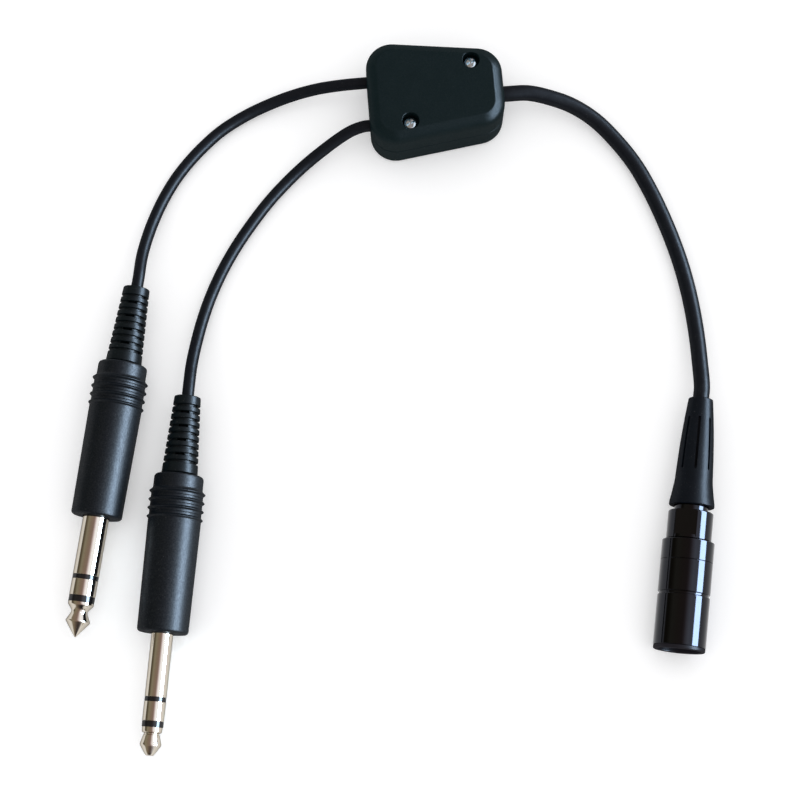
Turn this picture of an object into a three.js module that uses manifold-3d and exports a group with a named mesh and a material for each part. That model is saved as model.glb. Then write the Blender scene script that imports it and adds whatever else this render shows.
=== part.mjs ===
// Aviation headset adapter lead: a screwed junction box, two cords to a headphone plug and a
// microphone plug, and one cord to a six-way in-line socket. Millimetres, +Z up. The origin is the
// centre of the box's flat underside, on the surface that the whole lead lies on.

import * as THREE from 'three';
import { mergeVertices } from 'three/addons/utils/BufferGeometryUtils.js';
import Module from 'manifold-3d';

// ---- Clearances ----
const FIT = 0.1; // radial gap between round pieces that sit inside each other
const RUN = 0.15; // radial gap round a piece that turns or slides
const SEAT = 0.3; // gap between two faces that bear on each other
const BAND_GAP = 0.06; // gap between neighbouring contact bands of a plug finger
const CORD_SLACK = 0.15; // radial gap between a cord and the hole it runs through

// ---- Junction box ----
const BOX_LENGTH = 34.2; // across the two cord faces
const BOX_DEPTH = 24.0; // at the middle of its length
const BOX_HEIGHT = 16.0;
const BOX_TAPER = 7.6; // degrees that each long side leans in
const BOX_CORNER = 6.5; // plan radius of the four corners
const BOX_WALL = 2.0;
const BOX_FLOOR = 2.0;
const BOX_ROOF = 2.2;
const BOX_SEAM_Z = 7.4; // height of the parting line, which is also the cords' height there
const BOX_SEAM_GAP = 0.25;
const BOX_TURN = 4.6; // degrees that the box is turned, seen from above
const LID_ROUND = 2.8; // edge radius round the top of the lid
const BASE_ROUND = 1.1; // edge radius round the underside
const LIP_DEPTH = 1.6; // the lid's inner lip reaches this far into the base
const LIP_WALL = 0.9;
const TWIN_INSET = 6.2; // from the box's side at mid length to each of the two cords

// ---- Lid screws ----
const SCREW_INSETS = [[7.7, 5.4], [10.1, 3.7]]; // from the box's end, and from its side at mid length
const SCREW_RADIUS = 1.1;
const SCREW_LENGTH = 9.4;
const HEAD_RADIUS = 1.9;
const HEAD_HEIGHT = 1.5;
const HEAD_SUNK = 1.9; // below the top of the lid
const CROSS_LENGTH = 2.3;
const CROSS_WIDTH = 0.55;
const CROSS_DEPTH = 0.8;
const BOSS_WALL = 1.4;
const COUNTERBORE_WALL = 1.0;

// ---- Splice board and cable ties inside the box ----
const BOARD_LENGTH = 14.0;
const BOARD_WIDTH = 11.0;
const BOARD_THICKNESS = 1.0;
const BOARD_Z = 4.2; // underside
const POST_RADIUS = 1.5;
const POST_SPREAD = 4.5;
const TIE_WIDTH = 2.4;
const TIE_WALL = 0.9;
const CORD_TAIL = 1.0; // cord past its tie
const LEAD_RADIUS = 0.2;
const LEAD_SIDES = 5;
const LEAD_STEP = 1.0; // length of one straight piece of a lead
const PAD_INSET = 1.0; // from the end of the board
const LEAD_PITCH = 0.55; // between the leads where they leave a cord
const PAD_PITCH = 1.5; // between the leads where they meet the board
const PAD_SHARE = 0.5; // the pads' offset from the middle, as a share of their cord's

// ---- Cords ----
const THIN_CORD_RADIUS = 1.5;
const THICK_CORD_RADIUS = 2.0;
const CORD_SIDES = 8;
const HEADPHONE_ROUTE = [
  [-23.8, 4.0, 6.9], [-30.0, 3.5, 5.6], [-36.2, 2.4, 4.0], [-42.4, 0.5, 2.6], [-48.6, -2.3, 1.8],
  [-54.7, -6.3, 1.6], [-59.0, -10.3, 1.6], [-62.8, -14.6, 1.6], [-66.2, -19.3, 1.6],
  [-69.0, -24.4, 1.7], [-71.1, -29.6, 2.3], [-72.7, -35.2, 3.6], [-73.8, -41.0, 5.2],
];
const MICROPHONE_ROUTE = [
  [-21.4, -8.3, 6.8], [-25.0, -10.2, 5.5], [-29.0, -12.8, 4.0], [-33.3, -16.0, 2.6],
  [-37.7, -20.1, 1.8], [-42.2, -25.2, 1.6], [-46.5, -31.1, 1.6], [-50.4, -37.2, 1.6],
  [-53.7, -43.4, 1.6], [-56.4, -49.8, 1.7], [-58.4, -56.3, 2.4], [-59.8, -62.9, 3.7],
  [-60.7, -69.0, 5.3],
];
const SOCKET_ROUTE = [
  [23.6, 1.9, 6.9], [29.2, 1.1, 5.8], [35.0, -0.6, 4.5], [41.0, -4.1, 3.2], [46.8, -9.9, 2.3],
  [51.3, -16.1, 2.1], [54.8, -22.8, 2.1], [57.6, -29.3, 2.1], [60.0, -35.8, 2.1],
  [62.0, -42.3, 2.1], [63.5, -48.8, 2.3], [64.5, -55.3, 3.0], [65.1, -61.8, 4.1],
  [65.4, -68.2, 5.3],
];

// ---- Plug handles, both alike ----
const HANDLE_LENGTH = 38.5;
const HANDLE_FRONT_RADIUS = 6.2;
const HANDLE_BACK_RADIUS = 6.45;
const HANDLE_NECK_RADIUS = 6.05; // plain band behind the ribs
const HANDLE_EDGE = 0.9;
const HANDLE_CAVITY_RADIUS = 5.0;
const HANDLE_FRONT_WALL = 2.2;
const HANDLE_BACK_WALL = 3.2;
const RIB_COUNT = 4;
const RIB_RADIUS = 6.85;
const RIB_PITCH = 2.1;
const RIB_WIDTH = 0.9;
const RIB_FROM_BACK = 4.3; // the last rib's crest to the back face

// ---- Plug strain reliefs, both alike ----
const RELIEF_LENGTH = 19.4; // outside the handle
const RELIEF_BASE_RADIUS = 4.45;
const RELIEF_TOP_RADIUS = 3.25;
const RELIEF_RINGS = 9;
const RELIEF_PITCH = 1.76;
const RELIEF_GROOVE = 0.65;
const RELIEF_GROOVE_DEPTH = 0.75;
const RELIEF_WINDOW = 2.3;
const RELIEF_COLLAR = 2.2;
const RELIEF_NECK_RADIUS = 3.6; // through the handle's back wall
const RELIEF_FLANGE = 2.0;

// ---- Headphone plug finger, 6.35 mm, three contacts ----
const HEADPHONE_TIP = [-87.0, -136.5];
const HEADPHONE_TURN = 8.1; // degrees
const HEADPHONE_FINGER_LENGTH = 29.4;
const HEADPHONE_FINGER_RADIUS = 3.175;
const HEADPHONE_ROD_RADIUS = 0.9;
const HEADPHONE_TUBE_WALL = 0.4;
const HEADPHONE_HEAD_RADIUS = 2.9;
const HEADPHONE_HEAD_LENGTH = 3.9;
const HEADPHONE_NECK_RADIUS = 1.95;
const HEADPHONE_NECK_LENGTH = 6.3;
const HEADPHONE_TIP_LENGTH = 8.4;
const HEADPHONE_FRONT_BAND = 1.45; // front insulator
const HEADPHONE_RING_BAND = 3.95;
const HEADPHONE_REAR_BAND = 1.0; // rear insulator

// ---- Microphone plug finger, 5.23 mm, three contacts ----
const MICROPHONE_TIP = [-68.4, -164.5];
const MICROPHONE_TURN = 4.66; // degrees
const MICROPHONE_FINGER_LENGTH = 29.1;
const MICROPHONE_FINGER_RADIUS = 2.615;
const MICROPHONE_ROD_RADIUS = 0.7;
const MICROPHONE_TUBE_WALL = 0.3;
const MICROPHONE_HEAD_RADIUS = 2.5;
const MICROPHONE_HEAD_LENGTH = 2.6;
const MICROPHONE_NECK_RADIUS = 1.8;
const MICROPHONE_NECK_LENGTH = 5.2;
const MICROPHONE_TIP_LENGTH = 6.7;
const MICROPHONE_FRONT_BAND = 1.35;
const MICROPHONE_RING_BAND = 4.55;
const MICROPHONE_REAR_BAND = 1.0;

// ---- Inside each handle ----
const CONTACT_FLANGE = 1.6; // thickness of the sleeve contact's flange
const TERMINAL_STEP = 1.9; // each tube's tail stands out this far past the one round it
const TIP_TERMINAL = 5; // rank of the tip rod's tail, which stands out furthest
const CORE_POCKET = 4.0; // how far the cord runs into the back of the core
const FLANGE_RIM = 0.3; // gap round the flange and the core inside the cavity

// ---- In-line socket, measured from its front rim ----
const SOCKET_FRONT = [57.9, -139.7];
const SOCKET_TURN = 6.73; // degrees
const SHELL_RADIUS = 6.35;
const SHELL_LENGTH = 21.6;
const SHELL_WALL = 0.45; // where it covers the liner
const SHELL_BACK_WALL = 1.45;
const SHELL_GROOVE_AT = 13.1;
const SHELL_GROOVE_WIDTH = 0.8;
const SHELL_GROOVE_DEPTH = 0.3;
const LINER_LIP = 0.95; // the liner's dark rim in front of the shell
const LINER_WALL = 0.5;
const LINER_DEPTH = 11.0; // front rim to the bottom of the recess
const LINER_FLOOR = 1.4;
const RING_LENGTH = 4.9;
const RING_WALL = 1.8;
const POST_FACE_AT = 6.5; // the insulator's face, below the rim
const INSULATOR_RADIUS = 3.0;
const INSULATOR_FLANGE_RADIUS = 4.3;
const INSULATOR_FLANGE = 1.6;
const INSULATOR_LENGTH = 10.4;
const KEY_WIDTH = 1.8;
const KEY_HEIGHT = 1.7;
const CONTACT_COUNT = 6;
const CONTACT_CIRCLE = 1.95;
const CONTACT_RADIUS = 0.5;
const CONTACT_BORE = 0.32;
const CONTACT_LENGTH = 11.6;
const CONTACT_PHASE = 15; // degrees
const RETAINER_WALL = 0.6;
const NUT_RADIUS = 5.5;
const NUT_LENGTH = 7.0;
const NUT_FLATS = 9.8;
const NUT_FLAT_TURN = -19; // degrees from the top, as the nut lies in the photo
const NUT_CHAMFER = 0.4;
const NUT_SPIGOT = 4.2; // threaded part inside the rear ring
const NUT_NECK_RADIUS = 4.1;
const NUT_NECK_LENGTH = 6.0;
const COLLET_WALL = 0.9;
const COLLET_LENGTH = 11.0;
const COLLET_SLIT = 0.5;
const COLLET_SLIT_LENGTH = 7.0;
const BOOT_LENGTH = 27.0;
const BOOT_SKIRT_RADIUS = 5.55;
const BOOT_WAIST_RADIUS = 4.6;
const BOOT_WAIST_AT = 6.2;
const BOOT_TOP_RADIUS = 3.0;
const BOOT_NECK_SHOWN = 1.4; // of the nut's neck between nut and boot
const BOOT_SKIRT_STEP = 2.6;
const BOOT_SWELL = 0.25; // the taper bulges this much halfway
const SLOT_COUNT = 8;
const SLOT_WIDTH = 0.6;
const SLOT_PHASE = -5.5; // degrees of the first slot from the top
const SLOT_FROM = 8.8;
const SLOT_TO = 22.0;
const SLOT_FLOOR = 0.5; // rubber left between a slot and the cord

// ---- Facets ----
const TURNED_SIDES = 20;
const FINGER_SIDES = 16;
const SMALL_SIDES = 12;
const CORNER_STEPS = 4;
const LID_ROUND_STEPS = 4;
const BASE_ROUND_STEPS = 2;
const CORD_STEP = 3.2; // length of one straight piece of a cord
const STRAIGHT_OUTSIDE = 1.5; // straight run of a cord outside the box's wall
const STRAIGHT_AT_MOUTH = 3.0; // straight run of a cord before its plug or socket
const CUT_OVERRUN = 1.0; // how far a cutter stands out of what it cuts
const ROOT_DEPTH = 1.0; // how far the lid's lip and bosses reach into its roof

const radians = (degrees) => THREE.MathUtils.degToRad(degrees);

const wasm = await Module();
wasm.setup();

// ---- Solids from three.js geometry ----

function signedVolume(vertices, triangles) {
  const corner = (i) => new THREE.Vector3().fromArray(vertices, 3 * i);
  let volume = 0;
  for (let i = 0; i < triangles.length; i += 3) {
    const [a, b, c] = [corner(triangles[i]), corner(triangles[i + 1]), corner(triangles[i + 2])];
    volume += a.dot(b.cross(c)) / 6;
  }
  return volume;
}

function solidOf(geometry) {
  const bare = geometry.clone();
  bare.deleteAttribute('normal');
  bare.deleteAttribute('uv');
  const merged = mergeVertices(bare, 1e-4);
  const triangles = [];
  for (let i = 0; i < merged.index.count; i += 3) {
    const [a, b, c] = [0, 1, 2].map((k) => merged.index.getX(i + k));
    if (a !== b && b !== c && c !== a) triangles.push(a, b, c);
  }
  const vertProperties = Float32Array.from(merged.attributes.position.array);
  if (signedVolume(vertProperties, triangles) < 0) triangles.reverse();
  const triVerts = Uint32Array.from(triangles);
  return new wasm.Manifold(new wasm.Mesh({ numProp: 3, vertProperties, triVerts }));
}

function geometryOf(solid) {
  const mesh = solid.getMesh();
  const geometry = new THREE.BufferGeometry();
  geometry.setAttribute('position', new THREE.BufferAttribute(mesh.vertProperties, 3));
  geometry.setIndex(new THREE.BufferAttribute(mesh.triVerts, 1));
  geometry.computeVertexNormals();
  return geometry;
}

// A turned piece about the Y axis. A profile of [radius, y] that ends off the axis is closed.
function turned(profile, sides) {
  const points = profile.map(([radius, y]) => new THREE.Vector2(radius, y));
  if (profile[0][0] > 0) points.push(points[0].clone());
  return solidOf(new THREE.LatheGeometry(points, sides));
}

function block(size, centre) {
  return solidOf(new THREE.BoxGeometry(...size).translate(...centre));
}

function post(radius, fromZ, toZ, [x, y], sides = SMALL_SIDES) {
  const cylinder = new THREE.CylinderGeometry(radius, radius, toZ - fromZ, sides);
  return solidOf(cylinder.rotateX(Math.PI / 2).translate(x, y, (fromZ + toZ) / 2));
}

function polygon(radius, sides) {
  const corners = [];
  for (let i = 0; i < sides; i += 1) {
    const angle = (2 * Math.PI * (i + 0.5)) / sides;
    corners.push(new THREE.Vector2(radius * Math.cos(angle), radius * Math.sin(angle)));
  }
  return new THREE.Shape(corners);
}

function tube(points, radius, sides, stepLength) {
  const vectors = points.map((point) => new THREE.Vector3(...point));
  const extrudePath = new THREE.CatmullRomCurve3(vectors, false, 'centripetal');
  const steps = Math.ceil(extrudePath.getLength() / stepLength);
  const options = { steps, extrudePath, bevelEnabled: false };
  return solidOf(new THREE.ExtrudeGeometry(polygon(radius, sides), options));
}

// ---- Materials ----
const paint = (color, roughness, metalness = 0) => ({ color, roughness, metalness });
const CASE_PLASTIC = paint(0x101318, 0.45);
const HANDLE_PLASTIC = paint(0x14161c, 0.5);
const RELIEF_RUBBER = paint(0x121419, 0.6);
const CORD_JACKET = paint(0x16181d, 0.5);
const BOOT_RUBBER = paint(0x17191f, 0.65);
const NICKEL = paint(0xd9cfc0, 0.12, 1);
const STEEL = paint(0xc8c9cc, 0.25, 1);
const BLACK_CHROME = paint(0x30343c, 0.08, 1);
const LINER_PLASTIC = paint(0x1d1b22, 0.4);
const BAND_PLASTIC = paint(0x0b0b0c, 0.35);
const CORE_PLASTIC = paint(0x2b2b2e, 0.6);
const INSULATOR_GREY = paint(0xc9cacb, 0.45);
const GOLD = paint(0xcaa45a, 0.2, 1);
const BRASS = paint(0xb7924e, 0.3, 1);
const BOARD_GREEN = paint(0x1e5a3a, 0.5);
const TIE_NYLON = paint(0xd7d7d0, 0.5);
const LEAD_COLOURS = [0xb62a24, 0xe4e0d4, 0x2a5fb0, 0x2f8a46, 0xd8b02c, 0x26262a];

function addNode(parent, name, solid, finish) {
  const mesh = new THREE.Mesh(geometryOf(solid), new THREE.MeshStandardMaterial(finish));
  mesh.name = name;
  parent.add(mesh);
}

// A group whose +Y runs from a front end towards the cord, lying flat at a height.
function layDown([x, y], turn, height) {
  const frame = new THREE.Group();
  frame.position.set(x, y, height);
  frame.rotation.z = -radians(turn);
  frame.updateMatrixWorld();
  return frame;
}

const placeIn = (frame, point) => frame.localToWorld(new THREE.Vector3(...point)).toArray();

// ---- Junction box ----

// Corner arcs of the tapered plan, drawn in by an inset, as one ring of [x, y] points.
function boxOutline(inset) {
  const lean = radians(BOX_TAPER);
  const radius = Math.max(BOX_CORNER - inset, LIP_WALL / 2);
  const centreX = BOX_LENGTH / 2 - inset - radius;
  const centreY = (x) => BOX_DEPTH / 2 - (inset + radius) / Math.cos(lean) - x * Math.tan(lean);
  const corners = [
    [centreX, centreY(centreX), 0, Math.PI / 2 - lean],
    [-centreX, centreY(-centreX), Math.PI / 2 - lean, Math.PI],
    [-centreX, -centreY(-centreX), Math.PI, 1.5 * Math.PI + lean],
    [centreX, -centreY(centreX), 1.5 * Math.PI + lean, 2 * Math.PI],
  ];
  const ring = [];
  for (const [x, y, from, to] of corners) {
    for (let step = 0; step <= CORNER_STEPS; step += 1) {
      const angle = from + ((to - from) * step) / CORNER_STEPS;
      ring.push([x + radius * Math.cos(angle), y + radius * Math.sin(angle)]);
    }
  }
  return ring;
}

// A solid through rings of the box's plan, each at a height and an inset.
function boxStack(levels) {
  const rings = levels.map(([z, inset]) => boxOutline(inset).map(([x, y]) => [x, y, z]));
  const count = rings[0].length;
  const vertices = rings.flat(2);
  const triangles = [];
  for (let level = 0; level + 1 < rings.length; level += 1) {
    for (let i = 0; i < count; i += 1) {
      const [a, b] = [level * count + i, level * count + ((i + 1) % count)];
      triangles.push(a, b, b + count, a, b + count, a + count);
    }
  }
  for (const [level, flip] of [[0, true], [rings.length - 1, false]]) {
    const first = level * count;
    for (let i = 1; i + 1 < count; i += 1) {
      triangles.push(first, first + (flip ? i + 1 : i), first + (flip ? i : i + 1));
    }
  }
  const geometry = new THREE.BufferGeometry();
  geometry.setAttribute('position', new THREE.Float32BufferAttribute(vertices, 3));
  geometry.setIndex(triangles);
  return solidOf(geometry);
}

// Heights and insets of a quarter-round edge, from the flat face out to the wall.
function edgeLevels(flatZ, round, steps, direction) {
  const levels = [];
  for (let step = 0; step <= steps; step += 1) {
    const angle = (Math.PI / 2) * (step / steps);
    const z = flatZ + direction * round * (1 - Math.cos(angle));
    levels.push([z, round * (1 - Math.sin(angle))]);
  }
  return levels;
}

const twinOffset = BOX_DEPTH / 2 - TWIN_INSET;
const cordPlaces = [
  { x: -1, y: twinOffset, radius: THIN_CORD_RADIUS },
  { x: -1, y: -twinOffset, radius: THIN_CORD_RADIUS },
  { x: 1, y: 0, radius: THICK_CORD_RADIUS },
];
const wallOutside = BOX_LENGTH / 2;
const screwPlaces = SCREW_INSETS.map(([fromEnd, fromSide], i) => {
  const side = i === 0 ? 1 : -1;
  return [side * (BOX_LENGTH / 2 - fromEnd), side * (BOX_DEPTH / 2 - fromSide)];
});
const wallInside = wallOutside - BOX_WALL;

// A round bar along X at the height of the cords.
function barAlongX(radius, fromX, toX, y, sides = SMALL_SIDES) {
  const bar = new THREE.CylinderGeometry(radius, radius, Math.abs(toX - fromX), sides);
  return solidOf(bar.rotateZ(Math.PI / 2).translate((fromX + toX) / 2, y, BOX_SEAM_Z));
}

// The holes through wall and lip, open downwards to a depth so that the lid lifts off the cords.
function cordHoles(openDepth) {
  const reach = LIP_WALL + BOX_WALL + FIT + RUN + SEAT;
  const holes = cordPlaces.map(({ x, y, radius }) => {
    const wide = radius + CORD_SLACK;
    const hole = barAlongX(wide, x * (wallOutside - reach), x * (wallOutside + CUT_OVERRUN), y);
    const middle = [x * (wallOutside - reach / 2), y, BOX_SEAM_Z - openDepth / 2];
    return openDepth > 0 ? hole.add(block([reach, 2 * wide, openDepth], middle)) : hole;
  });
  return holes.reduce((all, hole) => all.add(hole));
}

const counterboreFloor = BOX_HEIGHT - HEAD_SUNK - HEAD_HEIGHT - SEAT;
const screwTip = counterboreFloor + SEAT - SCREW_LENGTH;
const bossRadius = SCREW_RADIUS + FIT + BOSS_WALL;
const headBoreRadius = HEAD_RADIUS + RUN + FIT;
const baseBossTop = BOX_SEAM_Z - SEAT;

function baseShell() {
  const outside = [...edgeLevels(0, BASE_ROUND, BASE_ROUND_STEPS, 1), [BOX_SEAM_Z, 0]];
  let shell = boxStack(outside);
  const cavityTop = BOX_SEAM_Z + CUT_OVERRUN;
  shell = shell.subtract(boxStack([[BOX_FLOOR, BOX_WALL], [cavityTop, BOX_WALL]]));
  for (const side of [-1, 1]) {
    const place = [side * POST_SPREAD, 0];
    shell = shell.add(post(POST_RADIUS, BOX_FLOOR / 2, BOARD_Z - SEAT, place));
  }
  for (const place of screwPlaces) {
    shell = shell.add(post(bossRadius, BOX_FLOOR / 2, baseBossTop, place));
    shell = shell.subtract(post(SCREW_RADIUS + FIT, screwTip - SEAT, cavityTop, place));
  }
  return shell.subtract(cordHoles(0));
}

function lidShell() {
  const from = BOX_SEAM_Z + BOX_SEAM_GAP;
  const roofUnder = BOX_HEIGHT - BOX_ROOF;
  const round = edgeLevels(BOX_HEIGHT, LID_ROUND, LID_ROUND_STEPS, -1).reverse();
  let shell = boxStack([[from, 0], ...round]);
  shell = shell.subtract(boxStack([[from - CUT_OVERRUN, BOX_WALL], [roofUnder, BOX_WALL]]));
  const lipOutside = BOX_WALL + FIT + RUN;
  const lipFrom = BOX_SEAM_Z - LIP_DEPTH;
  const rootTo = roofUnder + ROOT_DEPTH;
  const lip = boxStack([[lipFrom, lipOutside], [rootTo, lipOutside]]);
  const lipInside = lipOutside + LIP_WALL;
  const lipHollow = [[lipFrom - CUT_OVERRUN, lipInside], [roofUnder, lipInside]];
  const rootInset = BOX_WALL - FIT;
  const root = boxStack([[roofUnder - LIP_WALL, rootInset], [roofUnder + FIT, rootInset]]);
  shell = shell.add(lip.subtract(boxStack(lipHollow))).add(root);
  for (const place of screwPlaces) {
    const gapRound = bossRadius + SEAT;
    shell = shell.subtract(post(gapRound, lipFrom - CUT_OVERRUN, baseBossTop + SEAT, place));
    shell = shell.add(post(headBoreRadius + COUNTERBORE_WALL, from + SEAT, rootTo, place));
    shell = shell.subtract(post(headBoreRadius, counterboreFloor, BOX_HEIGHT + CUT_OVERRUN, place));
    shell = shell.subtract(post(SCREW_RADIUS + RUN, 0, BOX_HEIGHT, place));
  }
  return shell.subtract(cordHoles(2 * LIP_DEPTH));
}

// The board the leads are soldered to, notched round the two screw bosses.
function spliceBoard() {
  const size = [BOARD_LENGTH, BOARD_WIDTH, BOARD_THICKNESS];
  const board = block(size, [0, 0, BOARD_Z + BOARD_THICKNESS / 2]);
  const notches = screwPlaces.map((place) => post(bossRadius + SEAT, 0, BOX_SEAM_Z, place));
  return notches.reduce((rest, notch) => rest.subtract(notch), board);
}

function lidScrew([x, y]) {
  const headUnder = counterboreFloor + SEAT;
  const headTop = headUnder + HEAD_HEIGHT;
  const crown = HEAD_RADIUS - HEAD_HEIGHT / 3;
  const profile = [
    [0, screwTip],
    [SCREW_RADIUS, screwTip + SCREW_RADIUS / 2],
    [SCREW_RADIUS, headUnder],
    [HEAD_RADIUS, headUnder],
    [HEAD_RADIUS, headTop - HEAD_HEIGHT / 3],
    [crown, headTop],
    [0, headTop],
  ];
  const points = profile.map(([radius, z]) => new THREE.Vector2(radius, z));
  const body = new THREE.LatheGeometry(points, SMALL_SIDES).rotateX(Math.PI / 2);
  let screw = solidOf(body.translate(x, y, 0));
  const depthAt = headTop - CROSS_DEPTH / 2 + FIT / 2;
  const depth = CROSS_DEPTH + FIT;
  for (const size of [[CROSS_LENGTH, CROSS_WIDTH, depth], [CROSS_WIDTH, CROSS_LENGTH, depth]]) {
    const bar = new THREE.BoxGeometry(...size).rotateZ(radians(20)).translate(x, y, depthAt);
    screw = screw.subtract(solidOf(bar));
  }
  return screw;
}

const tieFrom = wallInside - LIP_WALL - FIT - RUN - SEAT;
const cordEnd = tieFrom - TIE_WIDTH - CORD_TAIL;

function cableTie({ x, y, radius }) {
  const from = x * tieFrom;
  const to = x * (tieFrom - TIE_WIDTH);
  const band = barAlongX(radius + FIT + TIE_WALL, from, to, y);
  return band.subtract(barAlongX(radius + FIT, from + x, to - x, y));
}

// A lead from the end of a cord to its pad at the edge of the splice board.
function boardLead({ x, y }, index, count) {
  const rank = index - (count - 1) / 2;
  const padX = x * (BOARD_LENGTH / 2 - PAD_INSET);
  const padZ = BOARD_Z + BOARD_THICKNESS + FIT + LEAD_RADIUS;
  const startX = x * (cordEnd - SEAT);
  const start = new THREE.Vector3(startX, y + rank * LEAD_PITCH, BOX_SEAM_Z);
  const end = new THREE.Vector3(padX, y * PAD_SHARE + rank * PAD_PITCH, padZ);
  const middle = start.clone().add(end).divideScalar(2);
  const points = [start, middle, end].map((point) => point.toArray());
  return tube(points, LEAD_RADIUS, LEAD_SIDES, LEAD_STEP);
}

function junctionBox() {
  const box = new THREE.Group();
  box.rotation.z = radians(BOX_TURN);
  box.updateMatrixWorld();
  addNode(box, 'base_shell', baseShell(), CASE_PLASTIC);
  addNode(box, 'lid_shell', lidShell(), CASE_PLASTIC);
  screwPlaces.forEach((place, i) => addNode(box, `lid_screw_${i + 1}`, lidScrew(place), STEEL));
  addNode(box, 'splice_board', spliceBoard(), BOARD_GREEN);
  ['headphone', 'microphone', 'socket'].forEach((cord, i) => {
    const place = cordPlaces[i];
    addNode(box, `${cord}_cable_tie`, cableTie(place), TIE_NYLON);
    const count = cord === 'socket' ? 6 : 3;
    for (let lead = 0; lead < count; lead += 1) {
      const finish = paint(LEAD_COLOURS[lead], 0.5);
      addNode(box, `${cord}_lead_${lead + 1}`, boardLead(place, lead, count), finish);
    }
  });
  return box;
}

// ---- Plugs: each is measured from the point of its finger towards the cord ----

const ribCrest = (rib) => HANDLE_LENGTH - RIB_FROM_BACK - (RIB_COUNT - 1 - rib) * RIB_PITCH;
const reliefBore = THIN_CORD_RADIUS + CORD_SLACK;
const reliefFlangeRadius = HANDLE_CAVITY_RADIUS - FLANGE_RIM;
const cavityBack = HANDLE_LENGTH - HANDLE_BACK_WALL;

function plugHandle(front, bore) {
  const barrelEnd = ribCrest(0) - RIB_WIDTH / 2;
  const ribFoot = HANDLE_BACK_RADIUS - FIT;
  const profile = [
    [bore, front],
    [HANDLE_FRONT_RADIUS - HANDLE_EDGE, front],
    [HANDLE_FRONT_RADIUS - HANDLE_EDGE * 0.3, front + HANDLE_EDGE * 0.3],
    [HANDLE_FRONT_RADIUS, front + HANDLE_EDGE],
    [HANDLE_BACK_RADIUS, front + barrelEnd],
  ];
  for (let rib = 0; rib < RIB_COUNT; rib += 1) {
    const crest = front + ribCrest(rib);
    profile.push([RIB_RADIUS, crest], [ribFoot, crest + RIB_WIDTH / 2]);
    if (rib + 1 < RIB_COUNT) profile.push([ribFoot, crest + RIB_PITCH - RIB_WIDTH / 2]);
  }
  const back = front + HANDLE_LENGTH;
  profile.push(
    [HANDLE_NECK_RADIUS, front + ribCrest(RIB_COUNT - 1) + RIB_WIDTH],
    [HANDLE_NECK_RADIUS, back - HANDLE_EDGE],
    [HANDLE_NECK_RADIUS - HANDLE_EDGE * 0.3, back - HANDLE_EDGE * 0.3],
    [HANDLE_NECK_RADIUS - HANDLE_EDGE, back],
    [RELIEF_NECK_RADIUS + FIT, back],
    [RELIEF_NECK_RADIUS + FIT, front + cavityBack],
    [HANDLE_CAVITY_RADIUS, front + cavityBack],
    [HANDLE_CAVITY_RADIUS, front + HANDLE_FRONT_WALL],
    [bore, front + HANDLE_FRONT_WALL],
  );
  return turned(profile, TURNED_SIDES);
}

function reliefSurface(fromBase) {
  const share = fromBase / RELIEF_LENGTH;
  return RELIEF_BASE_RADIUS + (RELIEF_TOP_RADIUS - RELIEF_BASE_RADIUS) * share;
}

const reliefGroove = (ring) => RELIEF_LENGTH - RELIEF_COLLAR - ring * RELIEF_PITCH;

function strainRelief(front) {
  const seat = front + HANDLE_LENGTH + SEAT;
  const flangeTo = front + cavityBack - SEAT;
  const profile = [
    [reliefBore, flangeTo - RELIEF_FLANGE],
    [reliefFlangeRadius, flangeTo - RELIEF_FLANGE],
    [reliefFlangeRadius, flangeTo],
    [RELIEF_NECK_RADIUS, flangeTo],
    [RELIEF_NECK_RADIUS, seat],
    [RELIEF_BASE_RADIUS, seat],
  ];
  for (let ring = RELIEF_RINGS - 1; ring >= 0; ring -= 1) {
    const [low, high] = [reliefGroove(ring) - RELIEF_GROOVE, reliefGroove(ring)];
    const floor = reliefSurface(high) - RELIEF_GROOVE_DEPTH;
    profile.push([reliefSurface(low), seat + low], [floor, seat + low]);
    profile.push([floor, seat + high], [reliefSurface(high), seat + high]);
  }
  profile.push([RELIEF_TOP_RADIUS, seat + RELIEF_LENGTH], [reliefBore, seat + RELIEF_LENGTH]);
  let relief = turned(profile, SMALL_SIDES);
  for (let ring = 0; ring < RELIEF_RINGS; ring += 1) {
    const across = 2 * RELIEF_BASE_RADIUS;
    const middle = seat + reliefGroove(ring) - RELIEF_GROOVE / 2;
    const size = [RELIEF_WINDOW, RELIEF_GROOVE, across];
    if (ring % 2 === 0) size.reverse();
    relief = relief.subtract(block(size, [0, middle, 0]));
  }
  return relief;
}

// Radii of the tubes that nest round the tip rod, from the rod out to the sleeve's bore.
function nest(plug) {
  const step = plug.wall + FIT;
  const frontIn = plug.rod + FIT;
  const ringIn = frontIn + step;
  const rearIn = ringIn + step;
  return { frontIn, ringIn, rearIn, sleeveIn: rearIn + step };
}

// A band of the finger with a tube that runs back from it inside the handle.
function bandWithTail(inner, wall, outer, from, to, tailTo) {
  const profile = [[inner, from], [outer, from], [outer, to], [inner + wall, to]];
  profile.push([inner + wall, tailTo], [inner, tailTo]);
  return turned(profile, FINGER_SIDES);
}

function tipContact(plug, tailTo) {
  const profile = [[0, 0], ...plug.tipProfile, [plug.rod, plug.tipLength], [plug.rod, tailTo]];
  profile.push([0, tailTo]);
  return turned(profile, FINGER_SIDES);
}

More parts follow.
